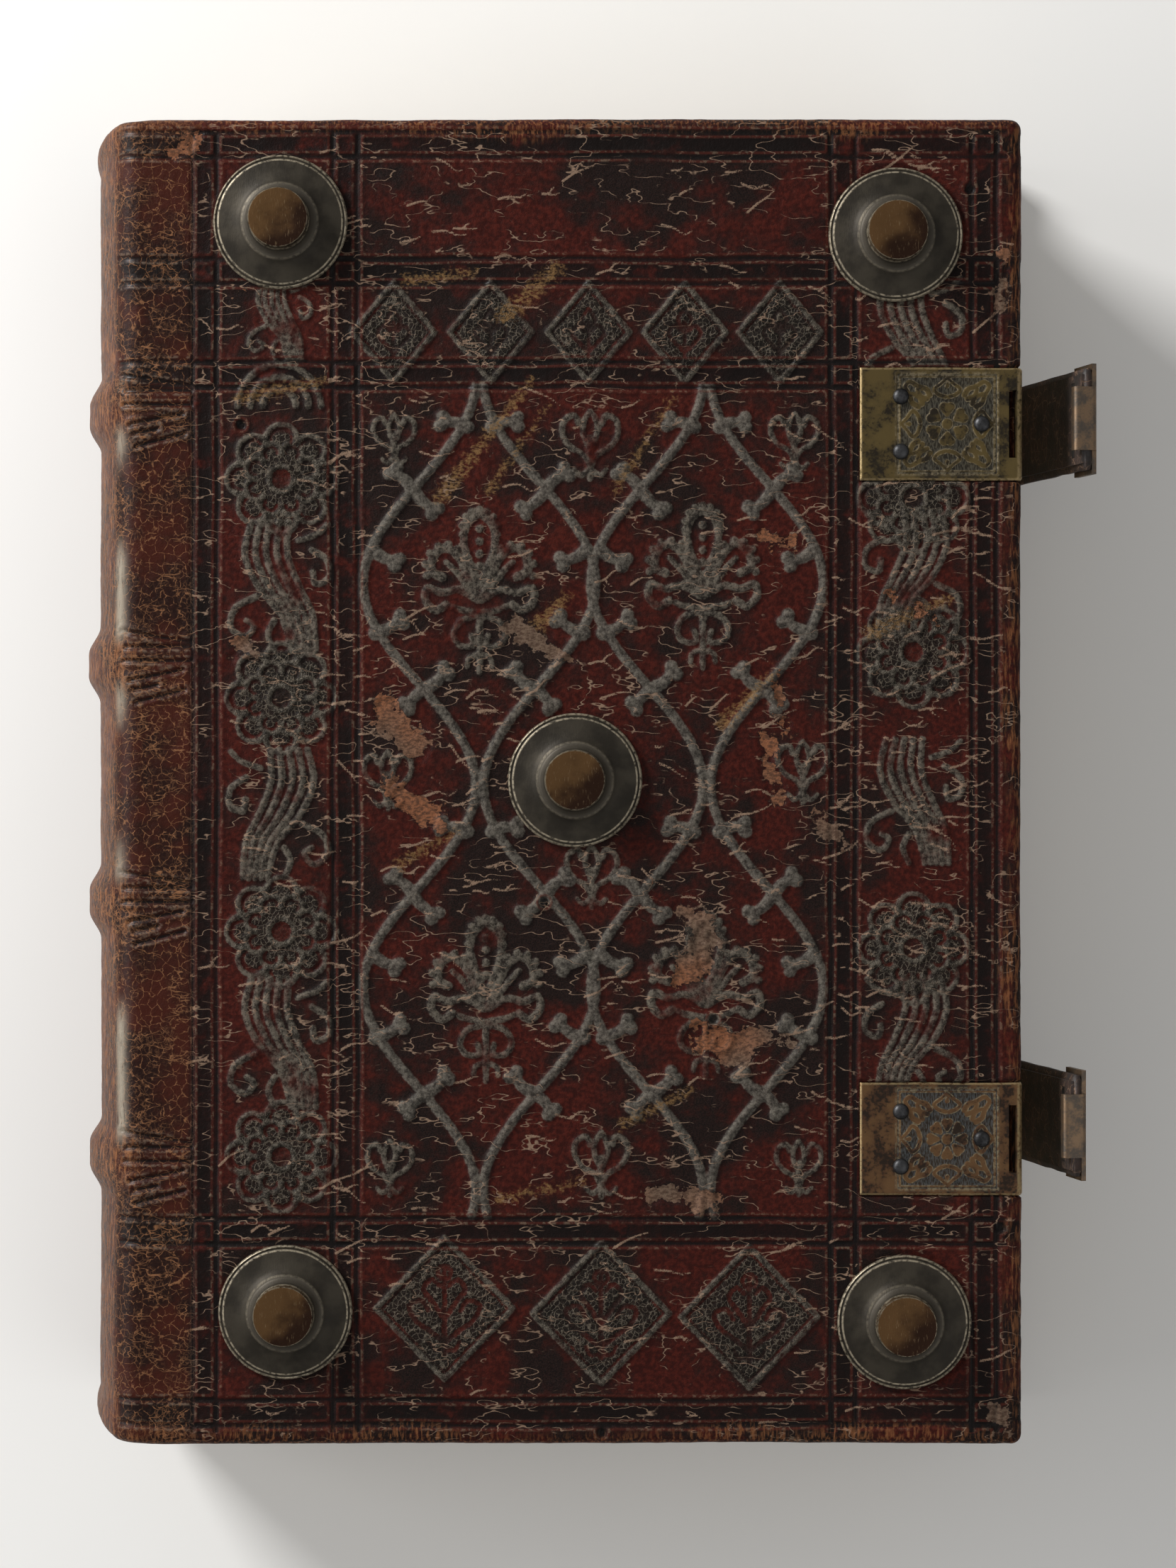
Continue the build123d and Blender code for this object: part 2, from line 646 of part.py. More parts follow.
# Clasp straps: the nailed root rides on the back cover, the rest swings about the fold
for strap_name, strap_y, strap_lean in straps:
    with BuildPart() as strap_root:
        with BuildSketch(Plane.XZ.offset(-strap_y)):
            under = root_lift
            over = root_lift + strap_thickness
            bend = strap_thickness / 2
            outer_x = strap_x + strap_thickness / 2
            inner_x = strap_x - strap_thickness / 2
            turn_x = inner_x - bend
            with BuildLine():
                Line((root_start, under), (turn_x, under))
                RadiusArc((turn_x, under), (outer_x, over + bend), -(strap_thickness + bend))
                Line((outer_x, over + bend), (outer_x, strap_fold_height))
                ThreePointArc(
                    (outer_x, strap_fold_height),
                    (strap_x, strap_fold_height + strap_thickness / 2),
                    (inner_x, strap_fold_height),
                )
                Line((inner_x, strap_fold_height), (inner_x, over + bend))
                RadiusArc((inner_x, over + bend), (turn_x, over), bend)
                Line((turn_x, over), (root_start, over))
                Line((root_start, over), (root_start, under))
            make_face()
        extrude(amount=strap_width / 2, both=True)
        with BuildSketch():
            with Locations(*nail_places):
                Rectangle(nail_head + 2 * shank_room, nail_head + 2 * shank_room)
        extrude(amount=root_lift + nail_head_thickness, mode=Mode.SUBTRACT)
        with BuildSketch():
            with Locations(*nail_places):
                Rectangle(nail_shank + 2 * shank_room, nail_shank + 2 * shank_room)
        extrude(amount=strap_fold_height, mode=Mode.SUBTRACT)
    keep(strap_root, f"{strap_name}_strap_root")

    lean = radians(strap_lean)
    side = Plane((strap_x, strap_y, strap_fold_height), x_dir=(cos(lean), 0, -sin(lean)), z_dir=(0, -1, 0))
    outer_face = Plane(side.origin, x_dir=(0, 1, 0), z_dir=side.x_dir)
    inside = -strap_thickness / 2 - strap_lining_thickness
    rivet_row = strap_length - hook_length / 2
    rivet_pair = [(-hook_rivet_spread / 2, rivet_row), (hook_rivet_spread / 2, rivet_row)]
    strap_start = strap_thickness / 2 + fold_room

    with BuildPart() as strap:
        with BuildSketch(side):
            with Locations((0, strap_start)):
                Rectangle(strap_thickness, strap_length - strap_start, align=(Align.CENTER, Align.MIN))
        extrude(amount=strap_width / 2, both=True)
        with BuildSketch(outer_face):
            with Locations(*rivet_pair):
                Rectangle(hook_rivet + 2 * shank_room, hook_rivet + 2 * shank_room)
        extrude(amount=strap_thickness, both=True, mode=Mode.SUBTRACT)
    keep(strap, f"{strap_name}_strap")

    with BuildPart() as strap_lining:
        with BuildSketch(side):
            with Locations((inside, strap_lining_start)):
                run = strap_length - strap_lining_start
                Rectangle(strap_lining_thickness, run, align=(Align.MIN, Align.MIN))
        extrude(amount=strap_width / 2 - strap_lining_inset, both=True)
        with BuildSketch(outer_face):
            with Locations(*rivet_pair):
                Rectangle(hook_rivet + 2 * shank_room, hook_rivet + 2 * shank_room)
        extrude(amount=inside - strap_thickness, mode=Mode.SUBTRACT)
    keep(strap_lining, f"{strap_name}_strap_lining")

    with BuildPart() as hook:
        plate_back = strap_thickness / 2 + hook_thickness
        tab_low = strap_length + glue_line
        with BuildSketch(side):
            with Locations((strap_thickness / 2, strap_length - hook_length)):
                Rectangle(hook_thickness, hook_length + glue_line, align=(Align.MIN, Align.MIN))
        extrude(amount=hook_width / 2, both=True)
        with BuildSketch(side):
            tip = inside - hook_overhang
            with BuildLine():
                Polyline(
                    (strap_thickness / 2, strap_length - hook_length),
                    (plate_back, strap_length - hook_length),
                    (plate_back, tab_low + hook_thickness),
                    (tip, tab_low + hook_thickness),
                    (tip, tab_low + hook_thickness - hook_lip),
                    (tip + hook_thickness, tab_low + hook_thickness - hook_lip),
                    (tip + hook_thickness, tab_low),
                    (strap_thickness / 2, tab_low),
                    close=True,
                )
            make_face()
            fillet(vertices().group_by(Axis.Y)[-1], hook_bend)
        extrude(amount=hook_tab_width / 2, both=True)
        with BuildSketch(outer_face):
            with Locations(*rivet_pair):
                Rectangle(hook_rivet + 2 * shank_room, hook_rivet + 2 * shank_room)
        extrude(amount=plate_back, mode=Mode.SUBTRACT)
    keep(hook, f"{strap_name}_hook")

    with BuildPart() as hook_rivets:
        with BuildSketch(outer_face.offset(plate_back)):
            with Locations(*rivet_pair):
                RegularPolygon(hook_rivet_head / 2, rivet_sides)
        extrude(amount=hook_rivet_rise)
        with BuildSketch(outer_face.offset(plate_back)):
            with Locations(*rivet_pair):
                Rectangle(hook_rivet, hook_rivet)
        extrude(amount=inside - plate_back)
    keep(hook_rivets, f"{strap_name}_hook_rivets")

with BuildPart() as strap_nails:
    with BuildSketch(Plane.XY.offset(root_lift)):
        with Locations(*nail_places):
            Rectangle(nail_head, nail_head)
    extrude(amount=nail_head_thickness)
    with BuildSketch(Plane.XY.offset(root_lift)):
        with Locations(*nail_places):
            Rectangle(nail_shank, nail_shank)
    extrude(amount=nail_length)
keep(strap_nails, "strap_nails")
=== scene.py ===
# %% [markdown]
# # An old folio in tooled leather
# The book lies on its back cover with the clasps open. The wooden boards, the sewing and the pages come
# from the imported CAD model, which stays where it is. This lesson dresses it: the leather that a binder
# wetted, drew over boards and bands and pressed with hot tools, and the metal that a smith put on top.

# %% Load the frame
import math

import bpy
import numpy as np
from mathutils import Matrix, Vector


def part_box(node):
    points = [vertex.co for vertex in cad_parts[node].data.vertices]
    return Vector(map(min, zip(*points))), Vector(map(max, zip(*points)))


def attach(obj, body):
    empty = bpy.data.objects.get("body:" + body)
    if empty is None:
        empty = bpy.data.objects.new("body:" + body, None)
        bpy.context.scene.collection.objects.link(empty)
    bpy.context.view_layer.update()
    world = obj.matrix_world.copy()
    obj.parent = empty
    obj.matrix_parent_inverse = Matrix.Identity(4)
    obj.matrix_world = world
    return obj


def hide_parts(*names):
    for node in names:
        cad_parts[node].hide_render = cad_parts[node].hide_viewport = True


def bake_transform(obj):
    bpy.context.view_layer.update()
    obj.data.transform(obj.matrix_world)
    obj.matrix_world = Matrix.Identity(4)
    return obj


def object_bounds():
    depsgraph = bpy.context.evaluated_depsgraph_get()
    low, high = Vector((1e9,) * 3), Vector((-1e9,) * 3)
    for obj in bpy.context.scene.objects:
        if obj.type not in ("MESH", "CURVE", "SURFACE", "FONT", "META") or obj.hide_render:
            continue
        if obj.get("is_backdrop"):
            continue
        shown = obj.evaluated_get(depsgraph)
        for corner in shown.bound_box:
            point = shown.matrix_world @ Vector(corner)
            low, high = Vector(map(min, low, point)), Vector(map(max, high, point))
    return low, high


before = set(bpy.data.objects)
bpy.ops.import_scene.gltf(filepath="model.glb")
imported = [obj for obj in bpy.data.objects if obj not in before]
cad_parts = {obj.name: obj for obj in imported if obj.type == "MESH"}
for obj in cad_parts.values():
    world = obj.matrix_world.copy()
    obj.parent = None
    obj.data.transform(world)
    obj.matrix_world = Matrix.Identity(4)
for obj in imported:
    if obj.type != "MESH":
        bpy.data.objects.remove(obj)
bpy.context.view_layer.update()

MM = 0.001
print("CAD nodes:", len(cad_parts))


# %% [markdown]
# ## Sizes
# Every place comes from the frame's boxes, in millimetres. The skin is drawn as if it lay flat: `u` runs
# from the middle of the back over its shoulder to the fore-edge, and `v` from tail to head. A photograph
# of the cover from straight above gives the rest, at 0.17 mm a pixel.

# %% Sizes from the frame
def box_mm(node):
    """Lowest and highest corner of a CAD node in millimetres."""
    low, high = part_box(node)
    return np.array(low) / MM, np.array(high) / MM


cover_high = box_mm("back_leather")[1]
back_low, back_high = box_mm("spine_leather")
pages_low, pages_high = box_mm("text_block")
board_low = box_mm("back_board")[0]
board_high = box_mm("front_board")[1]
fore_x = cover_high[0]
head_y = cover_high[1]
cover_depth = cover_high[2]
book_top = board_high[2] + board_low[2]
mid_z = book_top / 2
spine_x = back_high[0]
band_lift = 3.0
back_bulge = spine_x - back_low[0] - band_lift
leather = board_low[2]
shoulder_round = 7.7
edge_round = 2.5
turn_in = 15.0
headcap = 5.5
headcap_sink = 3.8  # how far the middle of the back stands below its corners at both ends
flat_u = fore_x - edge_round
flat_v = head_y - edge_round
bands = (90.0, 28.6, -29.3, -91.5)
boss_places = ((-1.6, 0.3), (-72.2, 134.0), (75.2, 131.0), (-71.0, -127.1), (77.3, -129.5))
plate_boxes = [box_mm("upper_catch_plate"), box_mm("lower_catch_plate")]
upright_lines = (-93.5, -87.5, -59.7, -53.7, 59.7, 65.7, 93.5, 99.5)
level_lines = (155.8, 149.8, 125.4, 119.4, 100.6, 94.6, -104.8, -110.8, -148.2, -154.2)
print("book top", round(book_top, 2), "back bulge", round(back_bulge, 2))


# %% [markdown]
# ## Helpers for soft shapes
# Leather is never even, so most edges are softened with a smooth step and most surfaces carry a slow
# drift. A grid primitive is the cloth that each large piece is cut from; its points are then moved to
# where the skin, the plate or the strap runs.

# %% Smooth steps, drift and grids
weld_reach = 0.002  # points nearer than this become one


def smooth(values, start, end):
    """0 before start and 1 after end, with a soft turn at both."""
    share = np.clip((values - start) / (end - start), 0, 1)
    return share * share * (3 - 2 * share)


def drift(x, y, size, seed):
    """Soft noise from -1 to 1 that changes over about size millimetres."""
    corners = np.random.default_rng(seed).uniform(-1, 1, (128, 128))
    x, y = np.asarray(x) / size + 64, np.asarray(y) / size + 64
    column, row = np.floor(x).astype(int), np.floor(y).astype(int)
    a, b = smooth(x - column, 0, 1), smooth(y - row, 0, 1)

    def corner(i, j):
        return corners[(row + j) % 128, (column + i) % 128]

    low = corner(0, 0) * (1 - a) + corner(1, 0) * a
    high = corner(0, 1) * (1 - a) + corner(1, 1) * a
    return low * (1 - b) + high * b


def laid(start, end, step):
    """Evenly spaced places from start to end."""
    return np.linspace(start, end, max(2, round(abs(end - start) / step) + 1))


def give_values(piece, values):
    """Writes one number a vertex for each name, for the materials to read."""
    for label, numbers in values.items():
        layer = piece.data.attributes.new(label, "FLOAT", "POINT")
        layer.data.foreach_set("value", np.ravel(numbers).astype(np.float32))


def places_of(piece):
    """Where a piece's points are, in metres."""
    flat = np.empty(len(piece.data.vertices) * 3)
    piece.data.vertices.foreach_get("co", flat)
    return flat.reshape(-1, 3)


def mesh_grid(name, points, values=None):
    """A grid with its points moved to points[row, column], in millimetres."""
    rows, columns = points.shape[:2]
    bpy.ops.object.select_all(action="DESELECT")
    bpy.ops.mesh.primitive_grid_add(x_subdivisions=columns - 1, y_subdivisions=rows - 1, size=1)
    piece = bpy.context.object
    piece.name = name
    flat = places_of(piece)
    column = np.rint((flat[:, 0] + 0.5) * (columns - 1)).astype(int)
    row = np.rint((flat[:, 1] + 0.5) * (rows - 1)).astype(int)
    piece.data.vertices.foreach_set("co", (points[row, column] * MM).ravel())
    give_values(piece, {label: numbers[row, column] for label, numbers in (values or {}).items()})
    piece.data.update()
    bpy.ops.object.shade_smooth()
    return piece


def sleeve(name, loops):
    """A closed piece from loops[row, point], each a ring of points; both ends are capped."""
    loops = np.concatenate([loops, loops[:, :1]], axis=1)
    first = np.broadcast_to(loops[0].mean(axis=0), loops[0].shape)
    last = np.broadcast_to(loops[-1].mean(axis=0), loops[-1].shape)
    piece = mesh_grid(name, np.concatenate([first[None], loops, last[None]]))
    bpy.ops.object.mode_set(mode="EDIT")
    bpy.ops.mesh.select_all(action="SELECT")
    bpy.ops.mesh.remove_doubles(threshold=weld_reach * MM)
    bpy.ops.mesh.normals_make_consistent(inside=False)
    bpy.ops.object.mode_set(mode="OBJECT")
    return piece


print("helpers ready")


# %% [markdown]
# ## The binder's tools
# A binder presses ornament with brass tools: long fillet lines run with a wheel, and stamps for leaves,
# rosettes and lozenges. Each tool here is a list of strokes, every stroke a bent line with a width at
# each end. A stroke's field tells how far a point of the skin lies inside it.

# %% Strokes and their field
def bend(points, steps=5):
    """A soft line through the points."""
    knots = np.array([points[0], *points, points[-1]], float)
    share = np.linspace(0, 1, steps, endpoint=False)[:, None]
    runs = []
    for a, b, c, d in zip(knots, knots[1:], knots[2:], knots[3:]):
        runs.append(b + 0.5 * share * (c - a + share * (2 * a - 5 * b + 4 * c - d
                                                       + share * (3 * (b - c) + d - a))))
    return np.concatenate([*runs, knots[-1:]])


def ring(radius, count):
    """A closed line round the origin."""
    angle = np.linspace(0, 2 * math.pi, count + 1)
    return np.stack([radius * np.cos(angle), radius * np.sin(angle)], axis=1)


def dot(x, y, width):
    """A stroke so short that it prints a dot."""
    return [(x, y), (x, y + 0.1)], width, width


def tool(table):
    """Strokes from a table: on each row the width at both ends, then the points of the line."""
    strokes = []
    for row in table.strip().splitlines():
        first, last, *points = row.split()
        line = [tuple(map(float, point.split(","))) for point in points]
        strokes.append((bend(line) if len(line) > 2 else line, float(first), float(last)))
    return strokes


def both_sides(strokes):
    """The strokes and their mirror images."""
    return strokes + [([(-x, y) for x, y in line], start, end) for line, start, end in strokes]


def put(strokes, x, y, size=1.0, flip=1, turn=0.0):
    """Strokes moved to a place on the cover, turned, resized or mirrored."""
    cos, sin = math.cos(math.radians(turn)) * size, math.sin(math.radians(turn)) * size
    placed = []
    for line, start, end in strokes:
        line = np.array(line) * (flip, 1)
        line = line @ np.array([[cos, sin], [-sin, cos]]) + (x, y)
        placed.append((line, start * size, end * size))
    return placed


def field(strokes, u, v, wide_u, wide_v, far=3.0):
    """How far inside the strokes each point of the skin lies; negative outside, down to -far."""
    inside = np.full(wide_u.shape, -far)
    for line, start, end in strokes:
        widths = np.linspace(start, end, len(line))
        for (x0, y0), (x1, y1), first, last in zip(line, line[1:], widths, widths[1:]):
            room = max(first, last) + far
            i0, i1 = np.searchsorted(u, (min(x0, x1) - room, max(x0, x1) + room))
            j0, j1 = np.searchsorted(v, (min(y0, y1) - room, max(y0, y1) + room))
            if i0 == i1 or j0 == j1:
                continue
            part = (slice(j0, j1), slice(i0, i1))
            x, y = wide_u[part] - x0, wide_v[part] - y0
            run_x, run_y = x1 - x0, y1 - y0
            along = np.clip((x * run_x + y * run_y) / (run_x**2 + run_y**2 + 1e-9), 0, 1)
            width = first + along * (last - first)
            inside[part] = np.maximum(inside[part], width - np.hypot(x - along * run_x, y - along * run_y))
    return inside


print("stroke tools ready")


# %% [markdown]
# ## The stamps
# The palmette, the rosette, the curled foliage and the lozenges are the tools that this binder owned.
# They are drawn after the cover and set out below where the cover has them. Rosettes and lozenges
# also have hollows, where the tool left the ground of the stamp lower.

# %% Palmette, rosette, foliage and lozenges
palmette = both_sides(tool("""
0.8 0.9  0,2 2.2,7 3.7,12 3.2,16.4 0,19.4
0.9 1.0  0.4,-1 2.6,4 5,8.8 8.2,11 11,9 11.4,5.4 9,4
0.7 0.6  2.6,1 5.4,5 8,7.6
0.8 0.9  0.5,-1.5 5,1 9,0.2 12.4,1.4 13,-1.6 10.6,-4 8,-2.6
0.8 0.6  0,-4.7 4.8,-3.8 6.6,-3
0.7 0.6  1,-5.4 4.6,-6.6 6.2,-9.8 4.6,-12.4 1.6,-12.4 2,-10
0.6 0.5  0,-14.5 2.4,-15.2 3,-17.4
0.8 0.6  0,-4.6 0,-18.8
""")) + [dot(0, y, 0.9) for y in (6.5, 9.5, 12.5, 15.5)]
for angle in range(-20, 181, 29):
    x, y = 8 + 5.0 * math.cos(math.radians(angle)), 6.2 + 5.6 * math.sin(math.radians(angle))
    palmette += [dot(x, y, 0.85), dot(-x, y, 0.85)]
for angle in range(-10, 191, 25):
    x, y = 4.3 * math.cos(math.radians(angle)), 15 + 5.2 * math.sin(math.radians(angle))
    palmette.append(dot(x, y, 0.8))


def petals(radius, middle, width, turn=0.0, count=8):
    """Round petals, open towards the origin, set in a circle."""
    opening = np.linspace(-1.9, 1.9, 15)
    petal = np.stack([middle + radius * np.cos(opening), radius * np.sin(opening)], axis=1)
    return [stroke for n in range(count)
            for stroke in put([(petal, width, width)], 0, 0, turn=turn + 360 * n / count)]


rosette = petals(3.9, 9.3, 0.5) + petals(2.7, 6.4, 0.42, turn=22) + [(ring(3.1, 28), 0.45, 0.45)]
rosette_hollows = [dot(0, 0, 2.3)] + petals(1.5, 6.6, 0.4, turn=22) + petals(2.5, 9.5, 0.35)

foliage = tool("""
0.65 0.6   7,8 10.4,5.6 10.6,2 7.8,0.8 7.2,3.4
0.65 0.55  -5,-2 -9.4,-4.4 -10.4,-8.4 -7.4,-10.6 -5.4,-8.4 -7,-7
0.6 0.55   -1,-7 -2.4,-10 -1,-13.4
0.6 0.5    4,10 8,11.4 10.4,13.6
""")
for stripe in range(5):
    foliage.append((bend([(-6 + 2.0 * stripe, 14), (-7.4 + 2.3 * stripe, 7), (-4.4 + 2.2 * stripe, 0),
                          (0.4 + 1.7 * stripe, -6), (2.6 + 1.3 * stripe, -13.5)]), 0.65, 0.6))

fleuron = both_sides(tool("""
0.6 0.7  0,-7 1.4,-3.4 4.6,-1.4 6.6,1.6 6.2,5 3.8,6.2 2.8,4.2
0.7 0.5  0,-2 1.7,2.2 1.3,5.2 0,7.4
0.6 0.5  0,-6.4 2.2,-8.2 3.8,-6.8
0.6 0.6  0,-9 0,1
"""))

flower = both_sides(tool("""
0.7 0.6    0,-6 2.6,-3.4 4.8,-0.4 3,2 1.2,0.4
0.75 0.55  0,0 2,3.6 0,7
0.6 0.6    0,-7.4 0,3
"""))

leafy_field = both_sides(tool("""
0.7 0.6   0,-9 3.6,-6 7.6,-3 9.2,0.8 6,2 4.2,-0.6
0.7 0.6   0,-3 3,1.6 5.4,5 3.4,7.6 1.4,6
0.6 0.5   0,-10.4 2.6,-10.8 4,-8.6
0.75 0.6  0,-11.6 0,11
""")) + [(ring(1.8, 16) + (0, 9.4), 0.55, 0.55)]


def diamond(x, y, width):
    """One line of a lozenge's frame."""
    return [([(x, 0), (0, y), (-x, 0), (0, -y), (x, 0)], width, width)]


rosette_reach = 11.4
small_half, large_half = (10.0, 12.0), (16.5, 17.0)  # half the breadth and height of a lozenge
small_lozenge = diamond(*small_half, 0.5)
small_hollows = diamond(8.6, 10.3, 0.3) + put(flower, 0, 0, 0.8)
large_lozenge = diamond(*large_half, 0.55)
large_hollows = diamond(15.0, 15.4, 0.32) + put(leafy_field, 0, 0, 0.92)
print("strokes in a palmette:", len(palmette))


# %% [markdown]
# ## Setting out the cover
# Inside the fillet frame four wavy stems run from head to tail and part the panel into four ogee lobes.
# Buds on short stalks sit on both sides of the stems, and each lobe holds a palmette. Borders of rosettes
# and foliage stand left and right, with rows of lozenges above and below. The top panel stays bare.

# %% Lay out stems and stamps
lobe_height = 97.0
first_lobe_y = 47.5
lobe_xs = (-24.5, 30.0)
stem_wave = 13.5
stem_radius = 1.12
panel_top, panel_foot = 94.6, -104.0

stems = []
stem_v = np.linspace(panel_top, panel_foot, 90)
for lobe_x in lobe_xs:
    for side in (-1, 1):
        wave = stem_wave * (1 + np.cos(2 * math.pi * (stem_v - first_lobe_y) / lobe_height)) + 0.9
        stems.append((np.stack([lobe_x + side * wave, stem_v], axis=1), stem_radius, stem_radius))

buds = (  # where a stalk leaves the stem and where its bud sits, from the lobe's middle
    ((3.0, 37.5), (8.6, 38.6)), ((16.0, 22.5), (20.4, 26.4)), ((16.0, 22.5), (11.0, 17.8)),
    ((25.6, 8.0), (20.2, 5.3)), ((25.0, -12.0), (19.2, -8.8)), ((12.5, -25.0), (8.4, -21.2)),
    ((12.5, -25.0), (17.0, -29.2)),
)
for lobe_x in lobe_xs:
    for lobe_y in (first_lobe_y, first_lobe_y - lobe_height):
        for side in (-1, 1):
            for (x0, y0), (x1, y1) in buds:
                start = np.array([lobe_x + side * x0, lobe_y + y0])
                end = np.array([lobe_x + side * x1, lobe_y + y1])
                along = (end - start) / np.hypot(*(end - start))
                across = np.array([-along[1], along[0]])
                halfway = (start + end) / 2 + 0.5 * across * side
                stems.append((bend([start, halfway, end]), 1.7, 1.05))
                for ahead, aside, width in ((0.8, 1.05, 1.5), (0.4, -1.15, 1.65)):
                    tip = end + ahead * along + aside * across
                    stems.append((np.array([end - 0.4 * along, tip]), 1.4, width))

stamps, hollows = [], []
for x, y in ((-24.5, 45.0), (29.0, 46.0), (-23.0, -53.0), (29.7, -52.0)):
    stamps += put(palmette, x, y)
for x, y, size in ((2.0, 81.5, 1.0), (-45.0, 82.5, 0.75), (51.0, 82.0, 0.85), (2.4, -22.0, 0.9),
                   (-46.5, 1.0, 0.85), (53.0, 3.0, 0.9), (4.6, -91.0, 0.95), (-46.0, -92.0, 0.8),
                   (52.0, -92.0, 0.8)):
    stamps += put(fleuron, x, y, size)
left_rosettes = [(-72.0, y) for y in (72.5, 20.0, -36.0, -90.0)]
right_rosettes = [(79.5, y) for y in (68.0, 31.0, -40.0)]
small_lozenges = [(x, 107.7) for x in (-45.1, -21.8, 1.6, 24.7, 47.5)]
large_lozenges = [(-32.9, -126.3), (4.6, -127.5), (40.2, -128.4)]
for places, raised, sunk in ((left_rosettes + right_rosettes, rosette, rosette_hollows),
                             (small_lozenges, small_lozenge, small_hollows),
                             (large_lozenges, large_lozenge, large_hollows)):
    for x, y in places:
        stamps += put(raised, x, y)
        hollows += put(sunk, x, y)
for y, flip in ((46.5, 1), (-8.0, -1), (-63.0, 1)):
    stamps += put(foliage, -72.5, y, 1.12, flip)
for y, flip in ((106.0, 1), (49.5, -1), (-5.0, 1), (-62.0, -1)):
    stamps += put(foliage, 79.5, y, 1.08, flip)
stamps += put(foliage, -72.5, 110.5, 0.7)
stamps += [(ring(radius, 32)[:17] + (-72.5, 90.0), 0.7, 0.7) for radius in (4.0, 7.0, 10.0)]

tie_lines = (  # start and end of each line beside a band: from the joint, from the band's middle
    ((-5.5, 7.6), (11.5, 4.9)), ((-4.0, 3.7), (12.0, 3.8)), ((-4.6, 0.4), (12.0, 0.4)),
    ((-3.0, -4.4), (10.0, -1.8)), ((-2.0, -6.6), (4.0, -5.4)), ((-1.4, -9.6), (10.6, -6.5)),
)
ties = [([(spine_x + x0, band + y0), (spine_x + x1, band + y1)], 0.0, 0.0)
        for band in bands for (x0, y0), (x1, y1) in tie_lines]
holes = ((4.8, -156.2), (-81.7, 85.4), (100.4, -107.0), (31.6, -57.0), (-9.0, -29.0), (93.0, 142.0))
ties += [dot(x, y, 0.7) for x, y in holes]
print("stems and buds:", len(stems), "stamps:", len(stamps))


# %% [markdown]
# ## Wear
# Long use has scraped the high leather to ochre, and flayed some places down to the orange, fibrous
# middle of the hide. These marks sit where the photograph has them, as ragged strokes. Short level cracks
# with raised fibres are drawn by a seeded chance, closer together where the cover is worn most.

# %% Scrapes, flayed places and cracks
scrapes = tool("""
2.0 1.2  -34,68 -12,96
1.4 0.8  -22,70 -8,90
2.6 2.0  -18,112 -6,123
1.6 1.0  -42,120 -26,122
1.4 0.8  8,70 22,92
2.4 1.6  -12,36 -4,44
1.6 1.0  -44,-20 -30,-12
1.6 1.2  10,-82 26,-74
1.8 1.4  -82,92 -62,96
2.4 1.4  70,36 88,44
1.4 1.0  -20,-100 0,-96
2.0 1.2  34,14 46,26
""")
flayed = tool("""
2.6 3.4  24,-30 30,-38
3.4 4.2  30,-38 26,-47
4.2 3.4  28,-62 38,-65
1.6 1.0  40,-61 52,-62.5
2.2 1.6  16,-99 32,-100.6
2.4 1.6  58,-10 64,-16
2.6 2.2  -16,38 -4,30
3.0 3.6  -46,17 -39,8
1.6 2.6  -48,1 -33,-11
1.8 1.4  44,59 52,55
1.0 1.0  46,24 50,12
1.6 2.2  44,9 47,-4
2.6 1.8  76,44 86,38
1.8 1.4  -98,150 -92,156
2.4 2.0  100,-152 103,-157
1.8 1.4  99,112 102,124
1.6 1.2  -80,34 -84,30
""")

crack_count = 560
crack_crowds = (  # how many more, x, y, spread squared, and whether y counts
    (1.0, -40, 5, 900, 1), (0.8, 46, -30, 1600, 1), (0.45, 80, 0, 400, 0), (0.8, -60, 0, 16, 0),
)
crack_rng = np.random.default_rng(29)
cracks = []
while len(cracks) < crack_count:
    x, y = crack_rng.uniform(-100, 98), crack_rng.uniform(-154, 154)
    often = sum((more * math.exp(-((x - middle_x) ** 2 + tall * (y - middle_y) ** 2) / spread)
                 for more, middle_x, middle_y, spread, tall in crack_crowds), 0.16)
    if crack_rng.uniform() < often:
        length, slope = crack_rng.uniform(2, 9), crack_rng.normal(0, 0.3)
        knots = [(x + length * share, y + length * (slope * share + crack_rng.normal(0, 0.07)))
                 for share in (0, 0.4, 0.75, 1)]
        cracks.append((bend(knots, 3), 0.2, 0.04))
        if crack_rng.uniform() < 0.35:
            x, y = knots[1]
            rise = crack_rng.uniform(-0.4, 0.4) * length
            branch = [(x, y), (x + 0.1 * length, y + 0.6 * rise), (x + 0.3 * length, y + rise)]
            cracks.append((bend(branch, 3), 0.16, 0.04))
print("scrapes:", len(scrapes), "flayed places:", len(flayed), "cracks:", len(cracks))


# %% [markdown]
# ## The skin
# One hide covers the book. Around the back it follows three tangent arcs and rises over the four sewing
# bands; at the cover's edges it rolls over, runs down the board and is turned in; at head and tail of the
# back it folds over as the headcaps. Rim columns and rows carry those turns, so every part of the hide is
# still one grid. It is cut in the fillet grooves to keep each piece at a workable size.

# %% Where the skin runs
def band_rise(v):
    """Height of the leather over the sewing bands, and its small flare at the headcaps."""
    rise = 0.9 * smooth(np.abs(v), head_y - 9, head_y - 3)
    for band in bands:
        rise = rise + band_lift * (1 - smooth(np.abs(v - band), 2.6, 9.4))
    return rise


def back_arc(v):
    """Radii of the back and its shoulders at each v, and the angle where the two arcs meet."""
    rise = band_rise(v)
    bulge = back_bulge + rise
    shoulder = shoulder_round + rise / 2
    radius = (bulge**2 + mid_z**2 - 2 * mid_z * shoulder) / (2 * (bulge - shoulder))
    return bulge, shoulder, radius, np.arcsin((mid_z - shoulder) / (radius - shoulder))


